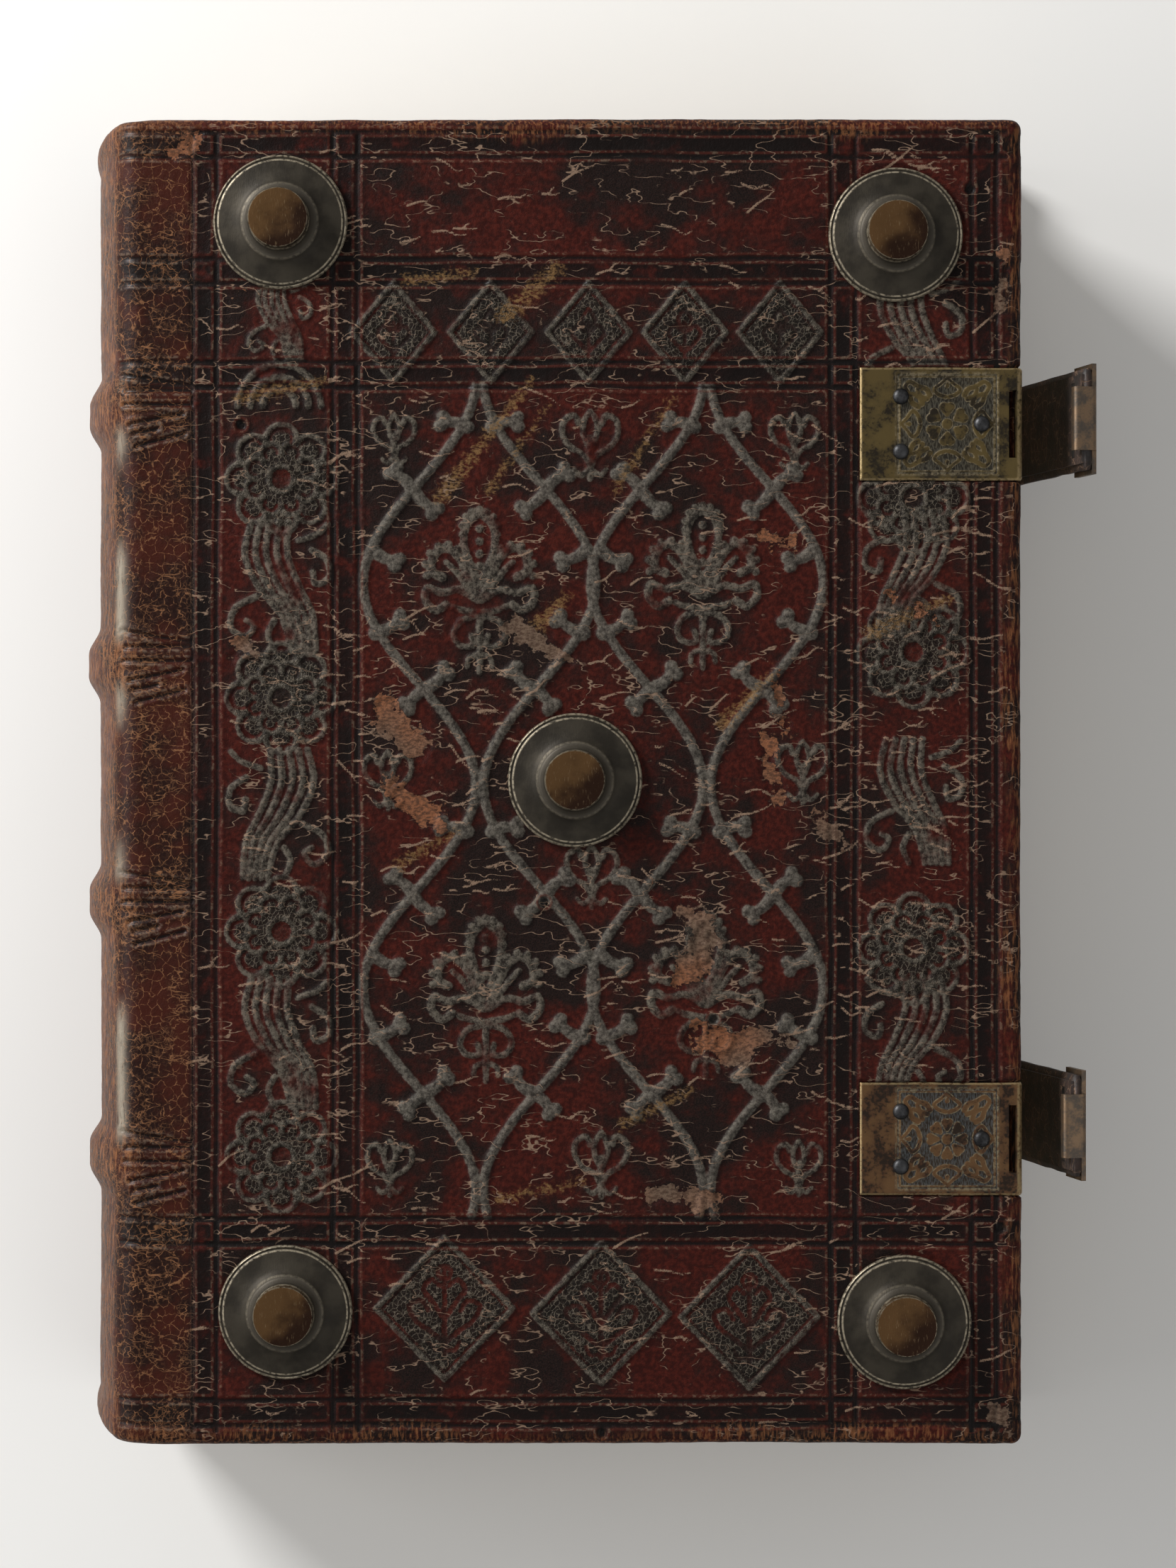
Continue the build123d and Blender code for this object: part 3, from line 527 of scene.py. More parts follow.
def on_back(distance, v):
    """Place and outward direction at a distance round the back from the top of its shoulder."""
    bulge, shoulder, radius, meet = back_arc(v)
    round_shoulder = shoulder * (math.pi / 2 - meet)
    near = distance < round_shoulder
    angle = np.where(near, math.pi / 2 - distance / shoulder, meet - (distance - round_shoulder) / radius)
    turn = np.where(near, shoulder, radius)
    centre_x = spine_x - bulge + radius - np.where(near, (radius - shoulder) * np.cos(meet), 0)
    centre_z = np.where(near, book_top - shoulder, mid_z)
    return centre_x - turn * np.cos(angle), centre_z + turn * np.sin(angle), -np.cos(angle), np.sin(angle)


def half_girth(v):
    """Length of the skin from the top of the shoulder to the middle of the back."""
    bulge, shoulder, radius, meet = back_arc(v)
    return shoulder * (math.pi / 2 - meet) + radius * meet


def rim_path(outer, drop, inner, tail_run):
    """Reach past the flat skin, drop below it and tilt of the surface, step by step over an edge."""
    steps = [(0.0, 0.0, 0.0)]
    for angle in np.linspace(0, math.pi / 2, 7)[1:]:
        steps.append((outer * math.sin(angle), outer * (1 - math.cos(angle)), angle))
    for depth in np.linspace(outer, drop - inner, 7)[1:]:
        steps.append((outer, depth, math.pi / 2))
    for angle in np.linspace(0, math.pi / 2, 4)[1:]:
        steps.append((outer - inner * (1 - math.cos(angle)), drop - inner * (1 - math.sin(angle)),
                      math.pi / 2 + angle))
    for run in np.linspace(0, tail_run, 6)[1:]:
        steps.append((outer - inner - run, drop, math.pi))
    return np.array(steps)


cover_rim = rim_path(edge_round, cover_depth, 0.8, turn_in)
headcap_rim = rim_path(2.2, headcap, 0.7, 3.0)
rim_steps = len(cover_rim) - 1
rim_run = np.concatenate([[0], np.cumsum(np.hypot(np.diff(cover_rim[:, 0]), np.diff(cover_rim[:, 1])))])
girth = float(half_girth(np.array(1e3)))  # past every band
print("rim steps:", rim_steps, "half girth of the back:", round(float(half_girth(np.array(0.0))), 1), "mm")


# %% [markdown]
# The pressed relief is worked out on the flat skin. Stems, stamps and the fibres along cracks stand
# proud, fillet lines are sunk with a small lip on each side, and hollows and flayed places lie a little
# lower. Under the bosses and plates the skin is pressed flat. The same numbers go to the leather's
# material, so that colour and shape agree.

# %% Fillet lines and stamped ground
line_start = -112.0  # the level lines begin on the shoulder of the back


def line_distance(wide_u, wide_v):
    """Distance to the nearest fillet line, and how deep a point lies between two lines of a pair."""
    nearest = np.full(wide_u.shape, 3.0)
    between = np.zeros(wide_u.shape)
    wobble = 0.25 * drift(wide_u, wide_v, 14, 5)
    on_cover = (wide_u > upright_lines[0] - 0.5) & (np.abs(wide_v) < flat_v)
    for first, second in zip(upright_lines[::2], upright_lines[1::2]):
        for place in (first, second):
            nearest = np.where(on_cover, np.minimum(nearest, np.abs(wide_u + wobble - place)), nearest)
        between = np.maximum(between, on_cover * smooth(wide_u, first, first + 1)
                             * smooth(-wide_u, -second, 1 - second))
    beyond = smooth(line_start - wide_u, 0, 2) + smooth(wide_u, flat_u - 1.2, flat_u + 0.3)
    for first, second in zip(level_lines[::2], level_lines[1::2]):
        for place in (first, second):
            nearest = np.minimum(nearest, np.abs(wide_v + wobble - place) + 4 * beyond)
        between = np.maximum(between, smooth(wide_v, second, second + 1) * smooth(-wide_v, -first, 1 - first)
                             * smooth(wide_u, line_start - 1, line_start + 2))
    return nearest, between


def stamped_ground(wide_u, wide_v):
    """How far inside the rosettes and lozenges each point lies."""
    inside = np.full(wide_u.shape, -3.0)
    for x, y in left_rosettes + right_rosettes:
        inside = np.maximum(inside, rosette_reach - np.hypot(wide_u - x, wide_v - y))
    for places, (half_x, half_y) in ((small_lozenges, small_half), (large_lozenges, large_half)):
        for x, y in places:
            share = 1 - np.abs(wide_u - x) / half_x - np.abs(wide_v - y) / half_y
            inside = np.maximum(inside, share * half_x * half_y / math.hypot(half_x, half_y))
    return np.maximum(inside, -3.0)


print("lines:", len(upright_lines), "upright,", len(level_lines), "level")


# %% [markdown]
# Heights and depths are in millimetres. Each stroke or line gives a soft ridge or furrow, slow waves make
# the hide uneven, and wear grows over the bands, along the edges and round the back.

# %% Relief of the tooled cover
stem_height, stamp_height, ground_height, crack_height = 0.78, 0.52, 0.2, 0.16
hollow_depth, line_depth, tie_depth, pair_depth, flay_depth = 0.28, 0.42, 0.25, 0.12, 0.3
line_lip, tie_lip = 0.16, 0.18
waves = ((0.28, 46, 1), (0.14, 11, 2), (0.06, 2.6, 3), (0.03, 1.1, 4))  # height, length, seed
plate_press = 5.0
pocket_depth = 2.6  # hollow under a plate's slot


def relief(u, v, wide_u, wide_v, ornate):
    """Height of the skin above its ground, and the values that its material reads."""
    def drawn(strokes, far=3.0, plain=False):
        return field(strokes if ornate or plain else [], u, v, wide_u, wide_v, far)

    def uneven(size, seed):
        return drift(wide_u, wide_v, size, seed)

    def ridge(distance, middle, width):
        return np.exp(-(((distance - middle) / width) ** 2))

    stem, stamp, hollow = drawn(stems), drawn(stamps), drawn(hollows)
    scrape, crack = drawn(scrapes, 4.0), drawn(cracks, 1.0)
    flay = drawn(flayed, 4.0, plain=True) + 1.2 * uneven(2.4, 21)
    line, between = line_distance(wide_u, wide_v)
    tie = 0.05 - drawn(ties, plain=True)
    line = np.minimum(line, tie)
    ground = stamped_ground(wide_u, wide_v) if ornate else np.full(wide_u.shape, -3.0)
    ragged = 0.25 * uneven(2.2, 8)
    high = np.maximum(stem_height * smooth(stem + ragged, -0.55, 1.0),
                      stamp_height * smooth(stamp + ragged, -0.4, 0.55))
    high = high + ground_height * smooth(ground, -0.6, 0.6) * (1.1 + uneven(1.2, 6))
    high = high - hollow_depth * smooth(hollow, -0.35, 0.3) + crack_height * smooth(crack, -0.4, 0.1)
    high = high - line_depth * ridge(line, 0, 0.5) + line_lip * ridge(line, 1.15, 0.45)
    high = high - tie_depth * ridge(tie, 0, 0.45) + tie_lip * ridge(tie, 1.1, 0.4)
    high = high - pair_depth * between - flay_depth * smooth(flay, -0.4, 0.6)
    for height, size, seed in waves:
        high = high + height * uneven(size, seed)
    press, sunk = np.zeros(wide_u.shape), np.zeros(wide_u.shape)
    if ornate:
        for x, y in boss_places:
            press = np.maximum(press, smooth(-np.hypot(wide_u - x, wide_v - y), -17.6, -16.2))
        for low, top in plate_boxes:
            inside = np.minimum(wide_u - low[0], np.minimum(wide_v - low[1], top[1] - wide_v))
            press = np.maximum(press, plate_press * smooth(inside, -0.7, -0.1))
            pocket = smooth(-np.abs(wide_u - top[0] + 2.5), -1.5, -0.9)
            pocket = pocket * smooth(-np.abs(wide_v - (low[1] + top[1]) / 2), -8.6, -7.9)
            # Painted shade: the pocket under the slot takes the dark colour of a fillet groove, with pale
            # lips round it.
            line = np.minimum(line, 3 - 3 * pocket)
            sunk = np.maximum(sunk, pocket_depth * pocket)
    high = high * np.clip(1 - press, 0, 1) - 0.15 * press - sunk
    on_spine = smooth(-wide_u, -spine_x - 1, -spine_x + 4)
    crest = on_spine * np.clip(band_rise(wide_v) / band_lift, 0, 1)
    # Where a painted highlight lies along the back's shoulder, between the bands.
    shoulder = ridge(wide_u - spine_x, -5.8, 1.7) * (1 - crest)
    shoulder = shoulder * smooth(uneven(22, 9), -0.5, 0.3) * smooth(-np.abs(wide_v), -100, -86)
    outside = smooth(spine_x - wide_u + 2 * uneven(17, 14), 5.5, 9.5)
    edge = np.maximum(np.abs(wide_v) - flat_v, wide_u - flat_u) + 2.2 * uneven(13, 12)
    wear = np.maximum(np.maximum(crest, 0.8 * smooth(edge, -3.2, 1.6)), 0.85 * outside)
    values = {"stem": stem, "stamp": stamp, "line": line, "between": between, "scrape": scrape, "flay": flay,
              "wear": wear, "spine": smooth(-wide_u, 92, 95), "ground": ground, "hollow": hollow,
              "crack": crack, "shoulder": shoulder}
    return high, values


print("relief ready")


# %% [markdown]
# A cut of the hide is a grid over `u` and `v` with rim rows and columns where it reaches an edge. Its points
# go to the cover or round the back, then out along the surface by the relief, then over the rim.

# %% One cut of the skin
corner_cut = 0.9
lap = 0.12  # the skin turned in at head and tail lies on the one from the fore-edge


def rimmed(places, before, after):
    """Places with the rim's run added at an end, their steps along the rim and their places on the flat."""
    lay = [places[0] - rim_run[:0:-1]] * before + [places] + [places[-1] + rim_run[1:]] * after
    steps = [-np.arange(rim_steps, 0, -1)] * before + [np.zeros(len(places))]
    steps += [np.arange(1, rim_steps + 1)] * after
    lay = np.concatenate(lay)
    return lay, np.concatenate(steps), np.clip(lay, places[0], places[-1])


def skin(u, v, fore=False, head=False, tail=False, ornate=True, front=True):
    """One cut of the hide over u and v, with its rims where it reaches an edge of the book."""
    lay_u, past_u, flat_us = rimmed(u, False, fore)
    lay_v, past_v, flat_vs = rimmed(v, tail, head)
    wide_u, wide_v = np.meshgrid(lay_u, lay_v)
    base_u, base_v = np.meshgrid(flat_us, flat_vs)
    step_u, step_v = np.meshgrid(past_u, past_v)
    high, values = relief(lay_u, lay_v, wide_u, wide_v, ornate)

    distance = (spine_x - base_u) * half_girth(base_v) / girth
    round_x, round_z, round_nx, round_nz = on_back(np.maximum(distance, 0), base_v)
    on_cover = base_u >= spine_x
    x = np.where(on_cover, base_u, round_x)
    z = np.where(on_cover, book_top, round_z)
    normal_x = np.where(on_cover, 0, round_nx)
    normal_z = np.where(on_cover, 1, round_nz)

    folded = rim_steps - 6
    step = np.maximum(np.abs(step_u), np.abs(step_v)).astype(int)
    length = np.maximum(np.hypot(step_u, step_v), 1)
    out_x, out_y = step_u / length, step_v / length
    capped = 1 - smooth(base_u, spine_x - 1.5, spine_x + 3)
    corner = (step_u != 0) & (step_v != 0)
    rim = cover_rim[step] * (1 - capped[..., None]) + headcap_rim[step] * capped[..., None]
    reach, drop, tilt = rim[..., 0], rim[..., 1], rim[..., 2]
    reach = np.where(corner, np.maximum(reach, edge_round - corner_cut), reach)
    drop = drop + lap * (step_v != 0) * smooth(step, folded, folded + 1)
    high = np.where(step > folded, 0.2 * high, high)
    x = x + out_x * (reach + high * np.sin(tilt)) + normal_x * (high * np.cos(tilt) - drop)
    y = base_v + out_y * (reach + high * np.sin(tilt))
    sink = headcap_sink * smooth(distance, 3, girth) * smooth(np.abs(base_v), flat_v - 14, flat_v)
    y = y - np.sign(base_v) * sink
    z = z + normal_z * (high * np.cos(tilt) - drop)
    points = np.stack([x, y, z], axis=-1)
    if not front:
        points[..., 2] = book_top - points[..., 2]
        points = points[::-1]
        values = {label: numbers[::-1] for label, numbers in values.items()}
    return points, values


print("skin ready")


# %% [markdown]
# ## Cutting and laying the front skin
# The piece over the back covers the back and the joint and stays where it lies. The other pieces ride on the
# front cover.

# %% Front skin
tool_step = 0.5
back_step = 0.62
panel_step = 0.53
cut_1, cut_2, cut_3 = -90.5, -56.7, 62.7
cut_head, cut_tail = 97.6, -107.8
whole_v = laid(-flat_v, flat_v, tool_step)
back_u = np.concatenate([spine_x - girth + laid(0, girth, back_step)[:-1], laid(spine_x, cut_1, tool_step)])

panel_u = laid(cut_2, cut_3, panel_step)
front_pieces = []
for name, u, v, edges in (
    ("tooled_left_border", laid(cut_1, cut_2, tool_step), whole_v, ("head", "tail")),
    ("tooled_panel", panel_u, laid(cut_tail, cut_head, panel_step), ()),
    ("tooled_head", panel_u, laid(cut_head, flat_v, tool_step), ("head",)),
    ("tooled_tail", panel_u, laid(-flat_v, cut_tail, tool_step), ("tail",)),
    ("tooled_right_border", laid(cut_3, flat_u, tool_step), whole_v, ("fore", "head", "tail")),
):
    piece = mesh_grid(name, *skin(u, v, **dict.fromkeys(edges, True)))
    front_pieces.append(piece)
    print(piece.name, len(piece.data.polygons) * 2, "triangles")
joint_v = laid(-flat_v, flat_v, 0.56)
front_joint_skin = mesh_grid("back_and_joint", *skin(back_u, joint_v, head=True, tail=True))
print(front_joint_skin.name, len(front_joint_skin.data.polygons) * 2, "triangles")


# %% [markdown]
# ## The back skin
# The lower cover rests on the table and carries only a plain fillet frame. Where the clasp straps are let
# in under the board, the leather is cut away for them.

# %% Back skin
rest_step = 2.0
notch_depth = 2.6
under_u = np.concatenate([spine_x - girth + laid(0, girth, 0.9)[:-1], laid(spine_x, flat_u, rest_step)])
under_v = laid(-flat_v, flat_v, 1.5)
points, values = skin(under_u, under_v, fore=True, head=True, tail=True, ornate=False, front=False)
strap_boxes = {name: box_mm(f"{name}_strap_root") for name in ("upper", "lower")}
for low, high in strap_boxes.values():
    notch = (points[..., 0] > low[0] - 0.3) & (np.abs(points[..., 1] - (low[1] + high[1]) / 2) < 12.9)
    notch &= points[..., 2] < notch_depth
    points[notch, 2] = notch_depth
points[..., 2] = np.maximum(points[..., 2], 0.0)
back_skin = mesh_grid("under_skin", points, values)
print(back_skin.name, len(back_skin.data.polygons) * 2, "triangles")


# %% [markdown]
# ## The pages
# Some hundred and fifty sheets, folded and sewn in gatherings. Each level of the block is one ring of
# page edges, set in or out a little, so the edges show as fine steps between the covers.

# %% Page block
levels = 150
page_z = np.linspace(pages_low[2], pages_high[2], levels)
page_rng = np.random.default_rng(11)
page_step = 0.22 * page_rng.uniform(-1, 0, levels) + 0.2 * np.sin(page_z * 1.9)
fore_hollow = 5.0
page_round = 34
page_back = spine_x - back_bulge + leather + page_round - np.sqrt(page_round**2 - (page_z - mid_z) ** 2)
page_back = np.minimum(page_back, spine_x)
head_count, fore_count = 60, 70
rings = []
for z, step, back in zip(page_z, page_step, page_back):
    fore = pages_high[0] - fore_hollow * (1 - ((z - mid_z) / (pages_high[2] - mid_z)) ** 2)
    along_x = np.linspace(back, fore, head_count)
    along_y = np.linspace(pages_low[1], pages_high[1], fore_count)
    uneven_x = step - 0.2 + 0.2 * drift(along_y, np.full(fore_count, z * 3), 16, 31)
    uneven_y = step - 0.2 + 0.2 * drift(along_x, np.full(head_count, z * 3), 16, 32)
    tail_edge = np.stack([along_x, pages_low[1] - uneven_y, np.full(head_count, z)], axis=1)
    fore_edge = np.stack([along_x[-1] + uneven_x, along_y, np.full(fore_count, z)], axis=1)
    head_edge = np.stack([along_x[::-1], pages_high[1] + uneven_y[::-1], np.full(head_count, z)], axis=1)
    rings.append(np.concatenate([tail_edge, fore_edge[1:-1], head_edge]))
pages = sleeve("page_block", np.array(rings))
bpy.ops.object.shade_smooth_by_angle(angle=math.radians(60))
print(pages.name, len(pages.data.polygons), "faces")


# %% [markdown]
# ## The bosses
# Five turned bosses keep the leather off the reading desk. A smith turned each from bronze: a broad disc
# with a grooved rim, a hollow neck and a flat cap. A disc is extruded and resized ring by ring, as on a
# lathe.

# %% Bosses
boss_profile = (  # radius, height
    (16.0, 0.0), (16.1, 0.5), (16.0, 1.1), (15.7, 1.3), (15.45, 1.1), (15.3, 1.05), (15.0, 1.35),
    (14.7, 1.4), (12.5, 1.75), (10.6, 2.2), (9.6, 2.7), (9.2, 3.15), (8.7, 3.2), (8.2, 3.6), (7.4, 4.8),
    (6.9, 6.2), (6.8, 7.4), (7.0, 8.2), (7.15, 8.7), (7.0, 9.0), (6.6, 9.05), (4.0, 8.95), (1.5, 8.9),
    (0.3, 8.9),
)


def turned(name, place, profile, sides=72):
    """A turned piece: a disc extruded up its profile, ring by ring."""
    bpy.ops.object.select_all(action="DESELECT")
    radius, height = profile[0]
    middle = np.array(place) * MM
    bpy.ops.mesh.primitive_circle_add(vertices=sides, radius=radius * MM, fill_type="NGON",
                                      location=middle + (0, 0, height * MM))
    piece = bpy.context.object
    piece.name = name
    bpy.ops.object.transform_apply(location=True)
    bpy.ops.object.mode_set(mode="EDIT")
    bpy.ops.mesh.select_all(action="SELECT")
    for (wide, low), (narrow, top) in zip(profile, profile[1:]):
        bpy.ops.mesh.extrude_region_move(TRANSFORM_OT_translate={"value": (0, 0, (top - low) * MM)})
        share = narrow / wide
        bpy.ops.transform.resize(value=(share, share, 1), center_override=middle)
    bpy.ops.mesh.select_all(action="SELECT")
    bpy.ops.mesh.normals_make_consistent(inside=False)
    bpy.ops.object.mode_set(mode="OBJECT")
    bpy.ops.object.shade_smooth_by_angle(angle=math.radians(50))
    across, up = (places_of(piece) / MM - np.array(place)).T[:2]
    give_values(piece, {"radius": np.hypot(across, up), "across": across, "up": up})
    return piece


def joined(name, pieces):
    """Several pieces of one kind as one."""
    bpy.ops.object.select_all(action="DESELECT")
    for piece in pieces:
        piece.select_set(True)
    bpy.context.view_layer.objects.active = pieces[0]
    bpy.ops.object.join()
    pieces[0].name = name
    return pieces[0]


bosses = joined("boss_set", [turned(f"boss_{n}", (x, y, book_top), boss_profile)
                             for n, (x, y) in enumerate(boss_places)])
print(bosses.name, len(bosses.data.polygons), "faces")


# %% [markdown]
# ## The catch plates
# Each plate is cut from brass sheet and engraved. The engraving is a square with a rosette of
# heart-shaped petals, leaves at its sides and scrolls in its corners on a hatched ground.

# %% Engraving
plate_leaf = both_sides(tool("""
0.55 0.4  0.4,6.7 2.2,7.3 3.2,8.6 1.6,9.9 0.2,11.2
0.75 0.5  4.3,7.2 5.2,8.6 7.0,9.2 9.2,10.4 10.4,9.4
0.7 0.5   6.2,5.0 6.9,6.6 8.6,7.4
0.6 0.3   0,9.4 0,10.2
"""))


def engraving(count):
    """Raised shapes of the plate's square field, from its middle."""
    raised = [([(0, 0), (0.05, 0)], 1.35, 1.35)]
    wide = 11.4 / count
    heart = both_sides([([(0.1, 2.3), (0.42 * wide, 4.2)], 0.45, 0.62 * wide)])
    for petal in range(count):
        raised += put(heart, 0, 0, turn=360 * petal / count)
    for angle in (0, 90, 180, 270):
        raised += put(plate_leaf, 0, 0, turn=angle)
    for half in (11.7, 12.6):
        corners = [(half, half), (-half, half), (-half, -half), (half, -half), (half, half)]
        raised.append((corners, 0.22, 0.22))
    return raised


print("leaf of the plates:", len(plate_leaf), "strokes")


# %% [markdown]
# The sheet is laid out flat with u along it and v across, then bent down over the fore-edge and pierced
# for the hook of its strap. Its edges are rubbed bright, and a painted highlight runs along its fold.

# %% Bent and pierced plates
plate_bend = 1.8
plate_thickness = 1.4
petal_counts = (6, 8)
square_half = 12.4
square_along = 20.9  # from the plate's inner end to the middle of its square
raised_by, sunk_by, rounded_by = 0.2, 0.16, 0.35  # engraved shapes, their ground and the plate's edges
slot_half = 8.0
slot_inner, slot_outer, slot_depth = 3.4, 1.5, 0.9  # in from the plate's outer side, and down from its top

plates = []
bpy.context.tool_settings.mesh_select_mode = (False, False, True)
for (low, high), petal_count, name in zip(plate_boxes, petal_counts, ("upper", "lower")):
    middle_y = (low[1] + high[1]) / 2
    flat_end = high[0] - plate_bend
    bend_run = plate_bend * math.pi / 2
    flange = high[2] - plate_bend - low[2]
    u = np.concatenate([laid(low[0], flat_end, 0.3), flat_end + laid(0, bend_run, 0.35)[1:],
                        flat_end + bend_run + laid(0, flange, 0.6)[1:]])
    v = laid(low[1], high[1], 0.3)
    wide_u, wide_v = np.meshgrid(u, v)
    cut = put(engraving(petal_count), low[0] + square_along, middle_y, 0.97)
    cut = field(cut, u, v, wide_u, wide_v, far=2.0)
    square = square_half - np.maximum(np.abs(wide_u - low[0] - square_along), np.abs(wide_v - middle_y))
    height = raised_by * smooth(cut, -0.2, 0.2) * smooth(square, -1.0, 0.0)
    height = height + 0.04 * drift(wide_u, wide_v, 7, 41) - sunk_by * smooth(square, -0.2, 0.3)
    border = np.minimum(np.minimum(wide_v - low[1], high[1] - wide_v), wide_u - low[0])
    height = height - rounded_by * (1 - smooth(border, 0.0, 0.5))
    turn = np.clip((wide_u - flat_end) / plate_bend, 0, math.pi / 2)
    below = np.maximum(wide_u - flat_end - bend_run, 0)
    out = plate_bend + height
    x = np.minimum(wide_u, flat_end) + out * np.sin(turn)
    z = high[2] - plate_bend + out * np.cos(turn) - below
    points = np.stack([x, wide_v + 0.1 * drift(wide_u, wide_v, 9, 43) * smooth(-border, -1, 0), z], axis=-1)
    past = wide_u - flat_end
    # Rubbed edges of the sheet, and a painted highlight along the fold.
    rubbed = np.maximum(smooth(past, 0.3, 0.9) * (1 - smooth(past, 2.2, 3.0)), 1 - smooth(border, 0.2, 0.6))
    plate = mesh_grid(f"{name}_plate", points, {"cut": cut, "square": square, "rubbed": rubbed})
    centres = np.array([face.center[:] for face in plate.data.polygons]) / MM
    slot = (np.abs(centres[:, 1] - middle_y) < slot_half) & (centres[:, 0] > high[0] - slot_inner)
    slot &= (centres[:, 0] < high[0] - slot_outer) & (centres[:, 2] > high[2] - slot_depth)
    plate.data.polygons.foreach_set("select", slot)
    bpy.ops.object.mode_set(mode="EDIT")
    bpy.ops.mesh.delete(type="FACE")
    bpy.ops.object.mode_set(mode="OBJECT")
    thick = plate.modifiers.new("sheet", "SOLIDIFY")
    thick.thickness = plate_thickness * MM
    thick.offset = -1
    bpy.ops.object.modifier_apply(modifier="sheet")
    bpy.ops.object.shade_smooth_by_angle(angle=math.radians(40))
    plates.append(plate)
    print(plate.name, len(plate.data.polygons) * 2, "triangles")


# %% [markdown]
# Three domed nails hold each plate to the board.

# %% Plate nails
nail_profile = ((1.5, -0.4), (1.95, -0.1), (1.9, 0.35), (1.5, 0.85), (0.9, 1.1), (0.2, 1.2))
nail_places = ((9.8, 6.6), (9.8, -6.6), (29.2, 0.0))  # from the plate's inner end, from its middle
nails = []
for low, high in plate_boxes:
    for along, aside in nail_places:
        place = (low[0] + along, (low[1] + high[1]) / 2 + aside, high[2])
        nails.append(turned(f"plate_nail_{len(nails)}", place, nail_profile, sides=24))
plate_nails = joined("plate_nails", nails)
print(plate_nails.name, len(plate_nails.data.polygons), "faces")


# %% [markdown]
# ## The clasp straps
# Each strap is one strip of leather: its root lies in a recess under the back board, it turns up round
# the board's edge and leans out where it was left hanging.

# %% Straps
strap_width = 25.0
strap_thickness = 2.0
fold_z = 6.0
strap_length = 63.5
leans = {"upper": 13.2, "lower": 10.8}
fold_x = strap_boxes["upper"][1][0] - strap_thickness / 2
root_z = strap_boxes["upper"][0][2] + strap_thickness / 2


def strip(name, path, facing, middle_y):
    """A leather strip of soft rectangular section along a path of x and z, with ragged sides."""
    side = np.linspace(-1, 1, 17)
    across = np.concatenate([side, -side])
    bulge = np.repeat([0.5, -0.5], 17) * (1 - 0.5 * np.abs(across) ** 12)
    loops = []
    for step, ((x, z), (out_x, out_z)) in enumerate(zip(path, facing)):
        ragged = 0.25 * drift(np.full(34, step * 0.9), across * 3, 2.0, 51)
        y = middle_y + across * (strap_width / 2 - 0.3 + ragged * np.abs(across))
        depth = strap_thickness * bulge + 0.06 * drift(np.full(34, step), across * 6, 3, 52)
        loops.append(np.stack([x + out_x * depth, y, z + out_z * depth], axis=1))
    return sleeve(name, np.array(loops))


def strap_path(name, count=26):
    """Middle line of a strap from its root to its end, with the direction its outer side faces."""
    root_x = strap_boxes[name][0][0]
    corner = fold_x - root_z - 1.4
    lean = math.radians(leans[name])
    path = [(x, root_z) for x in np.linspace(root_x, corner, 10)]
    facing = [(0.0, -1.0)] * 10
    radius = fold_x - corner
    for angle in np.linspace(0, math.pi / 2, 8)[1:]:
        path.append((corner + radius * math.sin(angle), root_z + radius * (1 - math.cos(angle))))
        facing.append((math.sin(angle), -math.cos(angle)))
    for step in np.linspace(0, 1, 9)[1:]:
        turn = lean * float(smooth(step, 0.2, 1.0))
        x, z = path[-1]
        path.append((x + 0.45 * math.sin(turn), z + 0.45 * math.cos(turn)))
        facing.append((math.cos(turn), -math.sin(turn)))
    end = np.array([fold_x + strap_length * math.sin(lean), fold_z + strap_length * math.cos(lean)])
    start = np.array(path[-1])
    for step in np.linspace(0, 1, count + 1)[1:]:
        path.append(tuple(start + (end - start) * step))
        facing.append((math.cos(lean), -math.sin(lean)))
    return path, facing


straps = {}
for name in ("upper", "lower"):
    middle_y = (strap_boxes[name][0][1] + strap_boxes[name][1][1]) / 2
    straps[name] = strip(f"{name}_clasp_strap", *strap_path(name), middle_y)
    print(straps[name].name, len(straps[name].data.polygons), "faces")


# %% [markdown]
# ## Materials
# A finish is written as sums on sockets. `Value` wraps a socket so that ordinary arithmetic adds the
# nodes, and `Finish.node` makes any other node. All patterns use object coordinates in millimetres or the
# values that the pieces carry.

# %% Values and finishes
class Value:
    """A shader socket that takes part in arithmetic."""

    def __init__(self, finish, socket):
        self.finish = finish
        self.socket = socket

    def math(self, operation, first, second=0.0):
        return self.finish.node("Math", {"operation": operation}, [first, second])

    def __add__(self, other):
        return self.math("ADD", self, other)

    def __sub__(self, other):
        return self.math("SUBTRACT", self, other)

    def __rsub__(self, other):
        return self.math("SUBTRACT", other, self)

    def __mul__(self, other):
        return self.math("MULTIPLY", self, other)

    __radd__ = __add__
    __rmul__ = __mul__

    def between(self, start, end):
        """0 at start and 1 at end, with soft turns."""
        sockets = {"Value": self, "From Min": start, "From Max": end}
        return self.finish.node("MapRange", {"interpolation_type": "SMOOTHSTEP"}, sockets)

    def most(self, other):
        return self.math("MAXIMUM", self, other)


